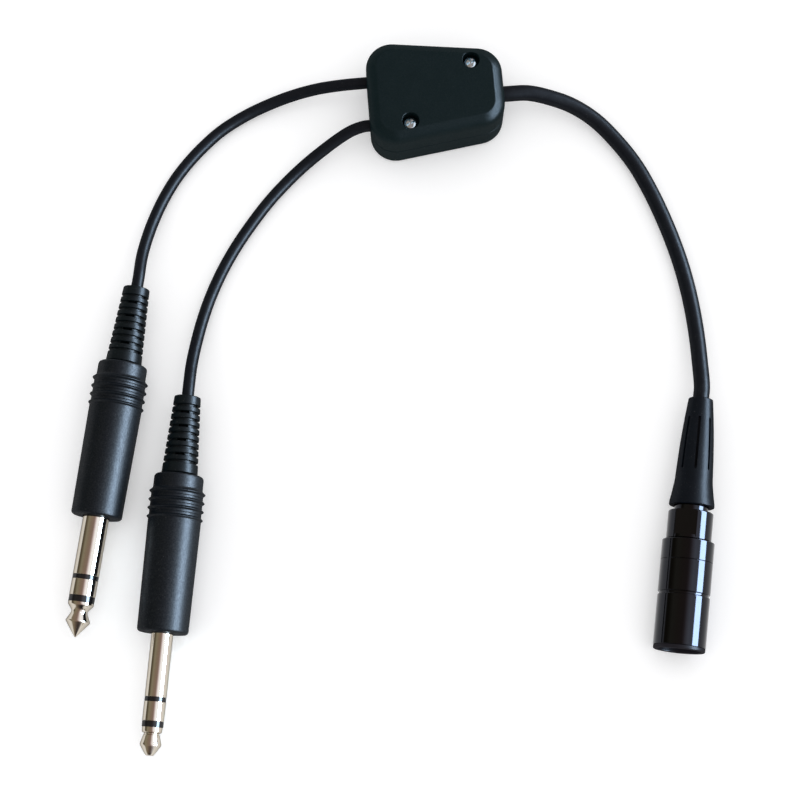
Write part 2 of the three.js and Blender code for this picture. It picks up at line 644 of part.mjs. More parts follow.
function addPlug(root, plug) {
  const frame = layDown(plug.point, plug.turn, RIB_RADIUS);
  const { name, finger: front, radius, wall } = plug;
  const { frontIn, ringIn, rearIn, sleeveIn } = nest(plug);
  const bands = [plug.tipLength + BAND_GAP];
  for (const width of [plug.frontBand, plug.ringBand, plug.rearBand]) {
    bands.push(bands.at(-1) + width, bands.at(-1) + width + BAND_GAP);
  }
  const flangeFrom = front + HANDLE_FRONT_WALL + SEAT;
  const flangeTo = flangeFrom + CONTACT_FLANGE;
  const tail = (rank) => flangeTo + rank * TERMINAL_STEP;
  const cavityRim = HANDLE_CAVITY_RADIUS - FLANGE_RIM;
  const tipTail = tail(TIP_TERMINAL);
  const coreFrom = tipTail + SEAT;
  const coreTo = front + cavityBack - SEAT - RELIEF_FLANGE - SEAT;

  addNode(frame, `${name}_handle`, plugHandle(front, radius + FIT), HANDLE_PLASTIC);
  addNode(frame, `${name}_strain_relief`, strainRelief(front), RELIEF_RUBBER);
  addNode(frame, `${name}_tip_contact`, tipContact(plug, tipTail), NICKEL);
  const frontBand = bandWithTail(frontIn, wall, radius, bands[0], bands[1], tail(4));
  addNode(frame, `${name}_front_insulator`, frontBand, BAND_PLASTIC);
  const ringBand = bandWithTail(ringIn, wall, radius, bands[2], bands[3], tail(3));
  addNode(frame, `${name}_ring_contact`, ringBand, NICKEL);
  const rearBand = bandWithTail(rearIn, wall, radius, bands[4], bands[5], tail(2));
  addNode(frame, `${name}_rear_insulator`, rearBand, BAND_PLASTIC);
  const sleeve = [
    [sleeveIn, bands[6]],
    [radius, bands[6]],
    [radius, flangeFrom],
    [cavityRim, flangeFrom],
    [cavityRim, flangeTo],
    [sleeveIn + wall, flangeTo],
    [sleeveIn + wall, tail(1)],
    [sleeveIn, tail(1)],
  ];
  addNode(frame, `${name}_sleeve_contact`, turned(sleeve, FINGER_SIDES), NICKEL);
  const pocketFrom = coreTo - CORE_POCKET;
  const core = [[0, coreFrom], [cavityRim, coreFrom], [cavityRim, coreTo]];
  core.push([reliefBore, coreTo], [reliefBore, pocketFrom], [0, pocketFrom]);
  addNode(frame, `${name}_core`, turned(core, FINGER_SIDES), CORE_PLASTIC);
  root.add(frame);
  const mouth = front + HANDLE_LENGTH + SEAT + RELIEF_LENGTH;
  return { frame, mouth, cordStop: pocketFrom + SEAT };
}

const headphonePlug = {
  name: 'headphone_plug',
  point: HEADPHONE_TIP,
  turn: HEADPHONE_TURN,
  finger: HEADPHONE_FINGER_LENGTH,
  radius: HEADPHONE_FINGER_RADIUS,
  rod: HEADPHONE_ROD_RADIUS,
  wall: HEADPHONE_TUBE_WALL,
  tipLength: HEADPHONE_TIP_LENGTH,
  frontBand: HEADPHONE_FRONT_BAND,
  ringBand: HEADPHONE_RING_BAND,
  rearBand: HEADPHONE_REAR_BAND,
  // a sharp cone, its widest edge, the neck, and a short cone back out to the finger
  tipProfile: [
    [HEADPHONE_HEAD_RADIUS * 0.12, HEADPHONE_HEAD_LENGTH * 0.06],
    [HEADPHONE_HEAD_RADIUS * 0.97, HEADPHONE_HEAD_LENGTH * 0.93],
    [HEADPHONE_HEAD_RADIUS, HEADPHONE_HEAD_LENGTH],
    [HEADPHONE_NECK_RADIUS, HEADPHONE_NECK_LENGTH],
    [HEADPHONE_FINGER_RADIUS, HEADPHONE_TIP_LENGTH - HEADPHONE_TUBE_WALL],
    [HEADPHONE_FINGER_RADIUS, HEADPHONE_TIP_LENGTH],
  ],
};

const microphonePlug = {
  name: 'microphone_plug',
  point: MICROPHONE_TIP,
  turn: MICROPHONE_TURN,
  finger: MICROPHONE_FINGER_LENGTH,
  radius: MICROPHONE_FINGER_RADIUS,
  rod: MICROPHONE_ROD_RADIUS,
  wall: MICROPHONE_TUBE_WALL,
  tipLength: MICROPHONE_TIP_LENGTH,
  frontBand: MICROPHONE_FRONT_BAND,
  ringBand: MICROPHONE_RING_BAND,
  rearBand: MICROPHONE_REAR_BAND,
  // a blunt cone, a rounded bulb, the neck, and a square shoulder
  tipProfile: [
    [MICROPHONE_HEAD_RADIUS * 0.4, 0],
    [MICROPHONE_HEAD_RADIUS * 0.9, MICROPHONE_HEAD_LENGTH * 0.75],
    [MICROPHONE_HEAD_RADIUS, MICROPHONE_HEAD_LENGTH],
    [MICROPHONE_HEAD_RADIUS * 0.93, MICROPHONE_HEAD_LENGTH * 1.35],
    [MICROPHONE_NECK_RADIUS, MICROPHONE_NECK_LENGTH - MICROPHONE_TUBE_WALL],
    [MICROPHONE_NECK_RADIUS, MICROPHONE_NECK_LENGTH],
    [MICROPHONE_FINGER_RADIUS * 0.93, MICROPHONE_NECK_LENGTH + MICROPHONE_TUBE_WALL],
    [MICROPHONE_FINGER_RADIUS * 0.93, MICROPHONE_TIP_LENGTH],
  ],
};

// ---- In-line socket: measured from its front rim towards the cord ----

const linerOutside = SHELL_RADIUS - SHELL_WALL - FIT;
const linerInside = linerOutside - LINER_WALL;
const linerBack = LINER_DEPTH + LINER_FLOOR;
const shellBackBore = SHELL_RADIUS - SHELL_BACK_WALL;
const flangeFront = linerBack + SEAT;
const flangeBack = flangeFront + INSULATOR_FLANGE;
const ringFrom = SHELL_LENGTH + BAND_GAP;
const ringTo = ringFrom + RING_LENGTH;
const ringBore = SHELL_RADIUS - RING_WALL;
const nutFrom = ringTo + SEAT;
const nutTo = nutFrom + NUT_LENGTH;
const neckTo = nutTo + NUT_NECK_LENGTH;
const colletRadius = THICK_CORD_RADIUS + FIT + COLLET_WALL;
const socketBore = THICK_CORD_RADIUS + CORD_SLACK;
const bootFrom = nutTo + BOOT_NECK_SHOWN;
const bootTo = bootFrom + BOOT_LENGTH;
const spigotFrom = nutFrom - NUT_SPIGOT;

function socketLiner() {
  const lipRound = LINER_LIP * 0.4;
  return turned([
    [INSULATOR_RADIUS + FIT, LINER_DEPTH],
    [linerInside, LINER_DEPTH],
    [linerInside, lipRound],
    [linerInside + lipRound, 0],
    [SHELL_RADIUS - lipRound - FIT, 0],
    [SHELL_RADIUS - FIT, lipRound],
    [SHELL_RADIUS - FIT, LINER_LIP],
    [linerOutside, LINER_LIP],
    [linerOutside, linerBack],
    [INSULATOR_RADIUS + FIT, linerBack],
  ], TURNED_SIDES);
}

function socketShell() {
  const from = LINER_LIP + BAND_GAP;
  const grooveTo = SHELL_GROOVE_AT + SHELL_GROOVE_WIDTH;
  return turned([
    [linerOutside + FIT, from],
    [SHELL_RADIUS, from],
    [SHELL_RADIUS, SHELL_GROOVE_AT],
    [SHELL_RADIUS - SHELL_GROOVE_DEPTH, SHELL_GROOVE_AT],
    [SHELL_RADIUS - SHELL_GROOVE_DEPTH, grooveTo],
    [SHELL_RADIUS, grooveTo],
    [SHELL_RADIUS, SHELL_LENGTH],
    [shellBackBore, SHELL_LENGTH],
    [shellBackBore, linerBack + SEAT],
    [linerOutside + FIT, linerBack + SEAT],
  ], TURNED_SIDES);
}

function rearRing() {
  const profile = [[ringBore, ringFrom], [SHELL_RADIUS, ringFrom], [SHELL_RADIUS, ringTo]];
  return turned([...profile, [ringBore, ringTo]], TURNED_SIDES);
}

function contactPlace(index) {
  const angle = radians(CONTACT_PHASE) + (2 * Math.PI * index) / CONTACT_COUNT;
  return [CONTACT_CIRCLE * Math.cos(angle), CONTACT_CIRCLE * Math.sin(angle)];
}

function barAlongY(radius, from, to, [x, z], sides) {
  const bar = new THREE.CylinderGeometry(radius, radius, to - from, sides);
  return solidOf(bar.translate(x, (from + to) / 2, z));
}

function socketInsulator() {
  const back = POST_FACE_AT + INSULATOR_LENGTH;
  let insulator = turned([
    [0, POST_FACE_AT],
    [INSULATOR_RADIUS, POST_FACE_AT],
    [INSULATOR_RADIUS, flangeFront],
    [INSULATOR_FLANGE_RADIUS, flangeFront],
    [INSULATOR_FLANGE_RADIUS, flangeBack],
    [INSULATOR_RADIUS, flangeBack],
    [INSULATOR_RADIUS, back],
    [0, back],
  ], FINGER_SIDES);
  const keyTo = LINER_DEPTH - SEAT;
  const keyLength = keyTo - POST_FACE_AT - FIT;
  const keyZ = -(INSULATOR_RADIUS + KEY_HEIGHT) / 2;
  const keySize = [KEY_WIDTH, keyLength, INSULATOR_RADIUS + KEY_HEIGHT - CONTACT_CIRCLE];
  const keyCentre = [0, keyTo - keyLength / 2, keyZ - CONTACT_CIRCLE / 2];
  insulator = insulator.add(block(keySize, keyCentre));
  for (let i = 0; i < CONTACT_COUNT; i += 1) {
    const hole = barAlongY(CONTACT_RADIUS + FIT, 0, back + CUT_OVERRUN, contactPlace(i), 8);
    insulator = insulator.subtract(hole);
  }
  return insulator;
}

function socketContact(index) {
  const [from, to] = [POST_FACE_AT + FIT, POST_FACE_AT + FIT + CONTACT_LENGTH];
  const place = contactPlace(index);
  const pin = barAlongY(CONTACT_RADIUS, from, to, place, 8);
  const bore = barAlongY(CONTACT_BORE, from - CUT_OVERRUN, (from + to) / 2, place, 8);
  return pin.subtract(bore);
}

function insulatorRetainer() {
  const outside = shellBackBore - FIT;
  const [from, to] = [flangeBack + SEAT, Math.min(spigotFrom, ringFrom) - SEAT];
  const profile = [[outside - RETAINER_WALL, from], [outside, from], [outside, to]];
  return turned([...profile, [outside - RETAINER_WALL, to]], TURNED_SIDES);
}

function colletNut() {
  const bore = colletRadius + RUN;
  let nut = turned([
    [bore, spigotFrom],
    [ringBore - RUN, spigotFrom],
    [ringBore - RUN, nutFrom],
    [NUT_RADIUS, nutFrom],
    [NUT_RADIUS, nutTo - NUT_CHAMFER],
    [NUT_RADIUS - NUT_CHAMFER, nutTo],
    [NUT_NECK_RADIUS, nutTo],
    [NUT_NECK_RADIUS, neckTo],
    [socketBore + FIT, neckTo],
    [socketBore + FIT, neckTo - RUN - SEAT],
    [bore, neckTo - RUN - SEAT],
  ], TURNED_SIDES);
  const flatLength = NUT_LENGTH - 2 * NUT_CHAMFER;
  for (const side of [-1, 1]) {
    const reach = side * (NUT_FLATS / 2 + NUT_RADIUS / 2);
    const cut = new THREE.BoxGeometry(2 * NUT_RADIUS, flatLength, NUT_RADIUS);
    cut.translate(0, nutTo - flatLength / 2, reach).rotateY(radians(NUT_FLAT_TURN));
    nut = nut.subtract(solidOf(cut));
  }
  return nut;
}

function cableCollet() {
  const to = neckTo - RUN - 2 * SEAT;
  const from = to - COLLET_LENGTH;
  const bore = THICK_CORD_RADIUS + FIT;
  const profile = [[bore, from], [colletRadius, from], [colletRadius, to], [bore, to]];
  let collet = turned(profile, TURNED_SIDES);
  const middle = to - COLLET_SLIT_LENGTH / 2 + CUT_OVERRUN / 2;
  for (const size of [[COLLET_SLIT, 3 * colletRadius], [3 * colletRadius, COLLET_SLIT]]) {
    const slit = block([size[0], COLLET_SLIT_LENGTH + CUT_OVERRUN, size[1]], [0, middle, 0]);
    collet = collet.subtract(slit);
  }
  return collet;
}

function bootRadius(along) {
  const share = (along - BOOT_WAIST_AT) / (BOOT_LENGTH - BOOT_WAIST_AT);
  const swell = BOOT_SWELL * Math.sin(Math.PI * share);
  return BOOT_WAIST_RADIUS + (BOOT_TOP_RADIUS - BOOT_WAIST_RADIUS) * share + swell;
}

function bendRelief() {
  const skirtBore = NUT_NECK_RADIUS + RUN;
  const skirtBack = neckTo + SEAT;
  const profile = [
    [skirtBore, bootFrom],
    [BOOT_SKIRT_RADIUS, bootFrom],
    [BOOT_SKIRT_RADIUS * 0.98, bootFrom + BOOT_SKIRT_STEP / 2],
    [BOOT_SKIRT_RADIUS * 0.93, bootFrom + BOOT_SKIRT_STEP],
  ];
  for (const share of [0, 0.25, 0.5, 0.75, 1]) {
    const along = BOOT_WAIST_AT + (BOOT_LENGTH - BOOT_WAIST_AT) * share;
    profile.push([bootRadius(along), bootFrom + along]);
  }
  profile.push([socketBore, bootTo], [socketBore, skirtBack], [skirtBore, skirtBack]);
  let boot = turned(profile, TURNED_SIDES);
  const length = SLOT_TO - SLOT_FROM;
  const floor = socketBore + SLOT_FLOOR;
  for (let slot = 0; slot < SLOT_COUNT; slot += 1) {
    const cut = new THREE.BoxGeometry(BOOT_SKIRT_RADIUS, length, SLOT_WIDTH);
    cut.translate(floor + BOOT_SKIRT_RADIUS / 2, bootFrom + SLOT_FROM + length / 2, 0);
    cut.rotateY(radians(SLOT_PHASE) + (2 * Math.PI * slot) / SLOT_COUNT);
    boot = boot.subtract(solidOf(cut));
  }
  return boot;
}

function addSocket(root) {
  const frame = layDown(SOCKET_FRONT, SOCKET_TURN, SHELL_RADIUS);
  addNode(frame, 'socket_liner', socketLiner(), LINER_PLASTIC);
  addNode(frame, 'socket_shell', socketShell(), BLACK_CHROME);
  addNode(frame, 'socket_rear_ring', rearRing(), BLACK_CHROME);
  addNode(frame, 'socket_insulator', socketInsulator(), INSULATOR_GREY);
  for (let i = 0; i < CONTACT_COUNT; i += 1) {
    addNode(frame, `socket_contact_${i + 1}`, socketContact(i), GOLD);
  }
  addNode(frame, 'insulator_retainer', insulatorRetainer(), BRASS);
  addNode(frame, 'collet_nut', colletNut(), BLACK_CHROME);
  addNode(frame, 'cable_collet', cableCollet(), BRASS);
  addNode(frame, 'bend_relief', bendRelief(), BOOT_RUBBER);
  root.add(frame);
  const cordStop = POST_FACE_AT + FIT + CONTACT_LENGTH + SEAT;
  return { frame, mouth: bootTo, cordStop };
}

// ---- Cords: from inside the box, out of its wall, along the table, into a plug or the socket ----

function cordSolid(box, { x, y, radius }, route, end) {
  const insideBox = [cordEnd, wallInside, wallOutside + STRAIGHT_OUTSIDE];
  const start = insideBox.map((along) => placeIn(box, [x * along, y, BOX_SEAM_Z]));
  const { mouth, cordStop } = end;
  const stops = [mouth + STRAIGHT_AT_MOUTH, mouth, (mouth + cordStop) / 2, cordStop];
  const finish = stops.map((along) => placeIn(end.frame, [0, along, 0]));
  return tube([...start, ...route, ...finish], radius, CORD_SIDES, CORD_STEP);
}

const group = new THREE.Group();
const box = junctionBox();
group.add(box);
const headphoneEnd = addPlug(group, headphonePlug);
const microphoneEnd = addPlug(group, microphonePlug);
const socketEnd = addSocket(group);
const headphoneCord = cordSolid(box, cordPlaces[0], HEADPHONE_ROUTE, headphoneEnd);
addNode(group, 'headphone_cord', headphoneCord, CORD_JACKET);
const microphoneCord = cordSolid(box, cordPlaces[1], MICROPHONE_ROUTE, microphoneEnd);
addNode(group, 'microphone_cord', microphoneCord, CORD_JACKET);
const socketCord = cordSolid(box, cordPlaces[2], SOCKET_ROUTE, socketEnd);
addNode(group, 'socket_cord', socketCord, CORD_JACKET);

export default group;
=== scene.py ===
"""An aviation headset adapter lead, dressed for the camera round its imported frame.

A screwed junction box sends two cords to a headphone plug and a microphone plug, and one cord to
an in-line six-way socket. Lengths of the lead are millimetres, and turn into metres where a mesh
is made.
"""
import logging
import math
from dataclasses import dataclass, field
from enum import Enum
from typing import Callable, Iterable, Mapping, Optional, Sequence, Union

import bmesh
import bpy
from mathutils import Matrix, Vector


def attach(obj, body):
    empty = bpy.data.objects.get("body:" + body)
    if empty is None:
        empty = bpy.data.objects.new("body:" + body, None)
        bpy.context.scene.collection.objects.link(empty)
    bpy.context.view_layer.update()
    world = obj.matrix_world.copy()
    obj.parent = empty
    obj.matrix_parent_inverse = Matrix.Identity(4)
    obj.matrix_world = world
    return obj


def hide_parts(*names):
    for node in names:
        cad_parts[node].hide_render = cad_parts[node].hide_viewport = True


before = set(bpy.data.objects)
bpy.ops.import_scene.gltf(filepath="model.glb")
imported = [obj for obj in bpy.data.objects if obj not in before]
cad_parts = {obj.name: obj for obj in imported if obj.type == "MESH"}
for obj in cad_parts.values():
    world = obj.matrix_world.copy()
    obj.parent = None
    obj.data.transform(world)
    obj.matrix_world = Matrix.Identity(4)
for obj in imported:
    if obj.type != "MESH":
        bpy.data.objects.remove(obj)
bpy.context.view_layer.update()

LOG = logging.getLogger("adapter_lead")
MM = 0.001  # metres in a millimetre
FIT = 0.1  # gap of pieces that are pushed together
RUN = 0.15  # gap round a cord or a screw
SEAT = 0.3  # gap at a face that another piece stops at
BAND_GAP = 0.06  # joint line between two rings
OVERRUN = 1.0  # how far a cutter runs past what it cuts
WELD = 0.0005  # corners as near as this become one
TINY = 1e-6  # a radius below this is a point on the axis
EASE_SHARE = 0.48  # of an edge that the rounding of one of its corners may take
SIDES = 96  # facets round a turned piece
CUT_SIDES = 72  # of one with many cuts
BORE_SIDES = 64  # of a screw's hole
BAR_SIDES = 48  # of bars and screws
HOLE_SIDES = 32  # of a contact's hole
PIN_SIDES = 24  # of a contact
SHARP = 32.0  # degrees from which an edge is shaded sharp
TUBE_RESOLUTION = 8  # of a cord's or a wire's round section
PATCH_NOISES = ((260.0, 3.0), (1900.0, 2.0), (3400.0, 0.0))  # features per metre, and detail
SPECK_FROM, SPECK_GAIN = 0.76, 14.0  # noise where a speck of dust starts, and how fast it grows
DUST_COLOUR = (0.35, 0.35, 0.33)
SKIN_DEPTH = 0.8  # how much a skin follows the height of its grain
SKIN_IOR = 2.0  # index of refraction of a moulded skin
PLAIN_SPECULAR = 0.5  # specular level of a finish without a skin
WHITE = (1.0, 1.0, 1.0)

Point = tuple[float, ...]
Pair = tuple[float, float]
Colour = tuple[float, float, float]
Node = bpy.types.Node
Tree = bpy.types.NodeTree
Socket = bpy.types.NodeSocket
Sockets = Mapping[str, Socket]
Value = Union[Socket, float, Colour]
Mesh = bpy.types.Mesh
Object = bpy.types.Object


# ---- Node trees ----


class Graph:
    """A node tree that is being built."""

    def __init__(self, tree: Tree) -> None:
        """Takes up the tree of a material, a world or a node group."""
        self.tree = tree

    def feed(self, node: Node, values: Mapping[Union[str, int], Value]) -> Node:
        """Links or sets a node's inputs.

        Args:
            node: The node.
            values: An output socket, a number or a colour for each input, by its name or place.

        Returns:
            The same node.
        """
        for key, value in values.items():
            if isinstance(value, Socket):
                self.tree.links.new(value, node.inputs[key])
            else:
                node.inputs[key].default_value = (*value, 1) if isinstance(value, tuple) else value
        return node

    def add(self, kind: str, **values: Value) -> Node:
        """Adds a shader node of a kind, and links or sets its inputs."""
        return self.feed(self.tree.nodes.new(f"ShaderNode{kind}"), values)

    def group(self, tree: Tree, values: Mapping[str, Value]) -> Sockets:
        """Adds a node group.

        Args:
            tree: The group's tree.
            values: Its inputs.

        Returns:
            Its outputs.
        """
        node = self.add("Group")
        node.node_tree = tree
        return self.feed(node, values).outputs

    def math(self, operation: str, first: Value, second: Value) -> Socket:
        """Adds a math node.

        Args:
            operation: Blender's name of the operation.
            first: First number or socket.
            second: Second number or socket.

        Returns:
            Its output.
        """
        node = self.add("Math")
        node.operation = operation
        return self.feed(node, {0: first, 1: second}).outputs[0]

    def mix(self, share: Socket, first: Value, second: Value) -> Socket:
        """Adds a mix of two colours.

        Args:
            share: Socket with the share of the second.
            first: First colour or socket.
            second: Second colour or socket.

        Returns:
            Its output.
        """
        node = self.add("Mix", Factor=share)
        node.data_type = "RGBA"
        return self.feed(node, {6: first, 7: second}).outputs[2]

    def noise(self, scale: Value, detail: float) -> Socket:
        """Adds a noise with features per metre of the object, and returns its output."""
        place = self.add("TexCoord").outputs["Object"]
        return self.add("TexNoise", Vector=place, Scale=scale, Detail=detail).outputs["Fac"]


def group_of(
    name: str,
    inputs: Mapping[str, str],
    outputs: Mapping[str, str],
    fill: Callable[[Graph, Sockets], Sockets],
) -> Tree:
    """Gives a shader node group, which is built on first use.

    Args:
        name: Name of the group.
        inputs: Socket type of each input.
        outputs: Socket type of each output.
        fill: Adds the nodes between the inputs and the outputs.

    Returns:
        The group's tree.
    """
    if name in bpy.data.node_groups:
        return bpy.data.node_groups[name]
    tree = bpy.data.node_groups.new(name, "ShaderNodeTree")
    for way, sockets in (("INPUT", inputs), ("OUTPUT", outputs)):
        for label, kind in sockets.items():
            tree.interface.new_socket(name=label, in_out=way, socket_type=f"NodeSocket{kind}")
    given = tree.nodes.new("NodeGroupInput").outputs
    graph = Graph(tree)
    graph.feed(tree.nodes.new("NodeGroupOutput"), fill(graph, given))
    return tree


def patched(graph: Graph, given: Sockets) -> Sockets:
    """Soft patches of a second colour, wandering roughness and specks of dust.

    Args:
        graph: The group that is filled.
        given: Its inputs.

    Returns:
        What goes to its outputs.
    """
    broad, fine, specks = (graph.noise(scale, detail) for scale, detail in PATCH_NOISES)
    share = graph.math("MULTIPLY", graph.math("MULTIPLY", broad, fine), 2.0)
    tinted = graph.mix(share, given["Colour"], given["Patch"])
    over = graph.math("MULTIPLY", graph.math("SUBTRACT", specks, SPECK_FROM), SPECK_GAIN)
    dusty = graph.math("MULTIPLY", graph.add("Clamp", Value=over).outputs[0], given["Dust"])
    wander = graph.math("MULTIPLY", graph.math("SUBTRACT", broad, 0.5), given["Spread"])
    rough = graph.math("ADD", graph.math("MULTIPLY", wander, 2.0), given["Roughness"])
    return {"Colour": graph.mix(dusty, tinted, DUST_COLOUR), "Roughness": rough}


def broken_skin(graph: Graph, given: Sockets, height: Socket, ground: float) -> Sockets:
    """A height, and the skin that is thinner in its hollows.

    Args:
        graph: The grain's group.
        given: Its inputs.
        height: Output socket with the height.
        ground: The height at which the skin is as given.

    Returns:
        What goes to the group's outputs.
    """
    followed = graph.math("MULTIPLY", height, SKIN_DEPTH)
    share = graph.math("ADD", followed, 1 - SKIN_DEPTH * ground)
    return {"Height": height, "Skin": graph.math("MULTIPLY", share, given["Skin"])}


def pebbled(graph: Graph, given: Sockets) -> Sockets:
    """The fine pebbled grain of a moulding.

    Args:
        graph: The group that is filled.
        given: Its inputs.

    Returns:
        What goes to its outputs.
    """
    place = graph.add("TexCoord").outputs["Object"]
    cells = graph.add("TexVoronoi", Vector=place, Scale=given["Per metre"]).outputs["Distance"]
    height = graph.math("ADD", graph.noise(given["Per metre"], detail=2.0), cells)
    return broken_skin(graph, given, height, ground=0.95)


def rippled(graph: Graph, given: Sockets) -> Sockets:
    """The slight unevenness of an extruded cord jacket."""
    return broken_skin(graph, given, graph.noise(given["Per metre"], detail=4.0), ground=0.5)


def lined(graph: Graph, given: Sockets) -> Sockets:
    """The lines that a turning tool leaves round a bar, from each point's place along the bar.

    Args:
        graph: The group that is filled.
        given: Its inputs.

    Returns:
        What goes to its outputs.
    """
    along = graph.add("Attribute")
    along.attribute_name = "along"
    position = graph.math("MULTIPLY", along.outputs["Fac"], given["Per metre"])
    place = graph.add("CombineXYZ", X=position).outputs[0]
    lines = graph.add("TexNoise", Vector=place, Scale=1.0, Detail=2.0)
    return broken_skin(graph, given, lines.outputs["Fac"], ground=0.5)


# ---- Finishes ----


class Texture(Enum):
    """What the surface of a finish is like close up, as the name of its node group."""

    MOULDED = "moulded_grain"
    JACKET = "jacket_ripple"
    TURNED = "turned_lines"
    SMOOTH = "smooth"


GRAINS = {Texture.MOULDED: pebbled, Texture.JACKET: rippled, Texture.TURNED: lined}


@dataclass(frozen=True)
class Finish:
    """One finish of the lead.

    Args:
        name: Name of the finish, from which its material's name is made.
        colour: Main colour, linear.
        patch: Colour of the soft patches over it, linear.
        roughness: Roughness where there are no patches.
        spread: How far the roughness wanders.
        metallic: 0 or 1.
        skin: Share of the surface's smooth moulded skin that mirrors the room; 0 leaves it to
            the plain specular level.
        edge: How much of its mirroring a metal keeps where it is seen edge-on.
        texture: What the surface is like close up.
        grain: Grains or lines per millimetre.
        relief: Height of the grain in millimetres.
        dust: How much pale dust lies on it, 0 to 1.
    """

    name: str
    colour: Colour
    patch: Colour
    roughness: float
    spread: float = 0.08
    metallic: float = 0.0
    skin: float = 0.0
    edge: float = 1.0
    texture: Texture = Texture.SMOOTH
    grain: float = 2.0
    relief: float = 0.01
    dust: float = 0.0

    def material(self) -> bpy.types.Material:
        """Returns this finish's material, which is made on first use."""
        label = f"{self.name}_finish"
        return bpy.data.materials.get(label) or self._build(label)

    def _build(self, label: str) -> bpy.types.Material:
        """Builds the shader graph.

        Args:
            label: Name of the material, which isn't that of a plain CAD one.

        Returns:
            The new material.
        """
        material = bpy.data.materials.new(label)
        material.use_nodes = True
        graph = Graph(material.node_tree)
        shader = material.node_tree.nodes["Principled BSDF"]
        graph.feed(shader, {
            "Metallic": self.metallic,
            "Specular IOR Level": 0.0 if self.skin else PLAIN_SPECULAR,
            "Specular Tint": (self.edge, self.edge, self.edge),
            "Coat Weight": self.skin,
            "Coat IOR": SKIN_IOR,
            "Coat Roughness": self.roughness,
        })
        numbers = dict.fromkeys(("Roughness", "Spread", "Dust"), "Float")
        ground = {"Colour": "Color", "Patch": "Color", **numbers}
        tree = group_of("surface_patches", ground, {"Colour": "Color", "Roughness": "Float"}, patched)
        patches = graph.group(tree, {
            "Colour": self.colour,
            "Patch": self.patch,
            "Roughness": self.roughness,
            "Spread": self.spread,
            "Dust": self.dust,
        })
        graph.feed(shader, {"Base Color": patches["Colour"], "Roughness": patches["Roughness"]})
        if self.texture is not Texture.SMOOTH:
            given, result = {"Per metre": "Float", "Skin": "Float"}, {"Height": "Float", "Skin": "Float"}
            tree = group_of(self.texture.value, given, result, GRAINS[self.texture])
            grain = graph.group(tree, {"Per metre": self.grain / MM, "Skin": self.skin})
            bump = graph.add("Bump", Strength=1.0, Distance=self.relief * MM, Height=grain["Height"])
            graph.feed(shader, {"Normal": bump.outputs["Normal"]})
            if self.skin:
                graph.feed(shader, {"Coat Weight": grain["Skin"]})
        return material


CASE = Finish(
    "case_plastic", (0.0036, 0.0100, 0.0115), (0.0058, 0.0130, 0.0148), 0.34, skin=0.055,
    texture=Texture.MOULDED, grain=3.2, relief=0.010, dust=0.015,
)
HANDLE = Finish(
    "handle_plastic", (0.0022, 0.0042, 0.0062), (0.0040, 0.0062, 0.0095), 0.40, skin=0.13,
    texture=Texture.MOULDED, grain=2.6, relief=0.012, dust=0.06,
)
RELIEF = Finish(
    "relief_rubber", (0.0025, 0.0050, 0.0065), (0.0042, 0.0075, 0.0092), 0.34, skin=0.09,
    texture=Texture.MOULDED, grain=5.0, relief=0.008, dust=0.08,
)
JACKET = Finish(
    "cord_jacket", (0.0040, 0.0052, 0.0080), (0.0065, 0.0080, 0.0110), 0.38, skin=0.075,
    texture=Texture.JACKET, grain=0.7, relief=0.008, dust=0.05,
)
BOOT = Finish(
    "boot_rubber", (0.0026, 0.0042, 0.0070), (0.0045, 0.0065, 0.0100), 0.36, skin=0.065,
    texture=Texture.MOULDED, grain=5.0, relief=0.008, dust=0.08,
)
NICKEL = Finish(
    "contact_nickel", (0.62, 0.57, 0.49), (0.56, 0.51, 0.43), 0.07,
    spread=0.04, metallic=1.0, edge=0.25, texture=Texture.TURNED, grain=3.0, relief=0.002,
)
STEEL = Finish("screw_steel", (0.72, 0.88, 0.95), (0.62, 0.76, 0.82), 0.16, metallic=1.0)
BLACK_CHROME = Finish(
    "black_chrome", (0.026, 0.027, 0.031), (0.022, 0.023, 0.027), 0.08,
    spread=0.04, metallic=1.0, texture=Texture.TURNED, grain=2.0, relief=0.001,
)
LINER = Finish("liner_plastic", (0.010, 0.009, 0.012), (0.015, 0.014, 0.018), 0.34, skin=0.08)
BAND = Finish("band_plastic", (0.004, 0.004, 0.005), (0.008, 0.008, 0.009), 0.16, skin=0.30)
CORE = Finish("core_plastic", (0.024, 0.024, 0.027), (0.034, 0.034, 0.037), 0.6)
INSERT = Finish("insert_plastic", (0.58, 0.59, 0.60), (0.50, 0.51, 0.53), 0.4)
GOLD = Finish(
    "contact_gold", (0.78, 0.56, 0.22), (0.68, 0.47, 0.17), 0.18, spread=0.06, metallic=1.0
)
BRASS = Finish(
    "turned_brass", (0.62, 0.45, 0.19), (0.52, 0.37, 0.15), 0.28,
    metallic=1.0, texture=Texture.TURNED, grain=4.0, relief=0.004,
)
BOARD = Finish("board", (0.012, 0.095, 0.045), (0.010, 0.075, 0.036), 0.35)
SOLDER = Finish(
    "board_solder", (0.62, 0.63, 0.64), (0.48, 0.48, 0.49), 0.3, spread=0.1, metallic=1.0
)
NYLON = Finish("tie_nylon", (0.66, 0.65, 0.60), (0.58, 0.57, 0.52), 0.5)
LEAD_FINISHES = [
    Finish(f"lead_{name}", colour, patch, roughness=0.38)
    for name, colour, patch in (
        ("red", (0.42, 0.020, 0.016), (0.34, 0.016, 0.013)),
        ("white", (0.72, 0.71, 0.66), (0.64, 0.63, 0.58)),
        ("blue", (0.021, 0.112, 0.43), (0.017, 0.090, 0.36)),
        ("green", (0.025, 0.25, 0.058), (0.020, 0.20, 0.046)),
        ("yellow", (0.69, 0.43, 0.025), (0.60, 0.37, 0.020)),
        ("black", (0.018, 0.018, 0.019), (0.026, 0.026, 0.027)),
    )
]


# ---- Meshes ----


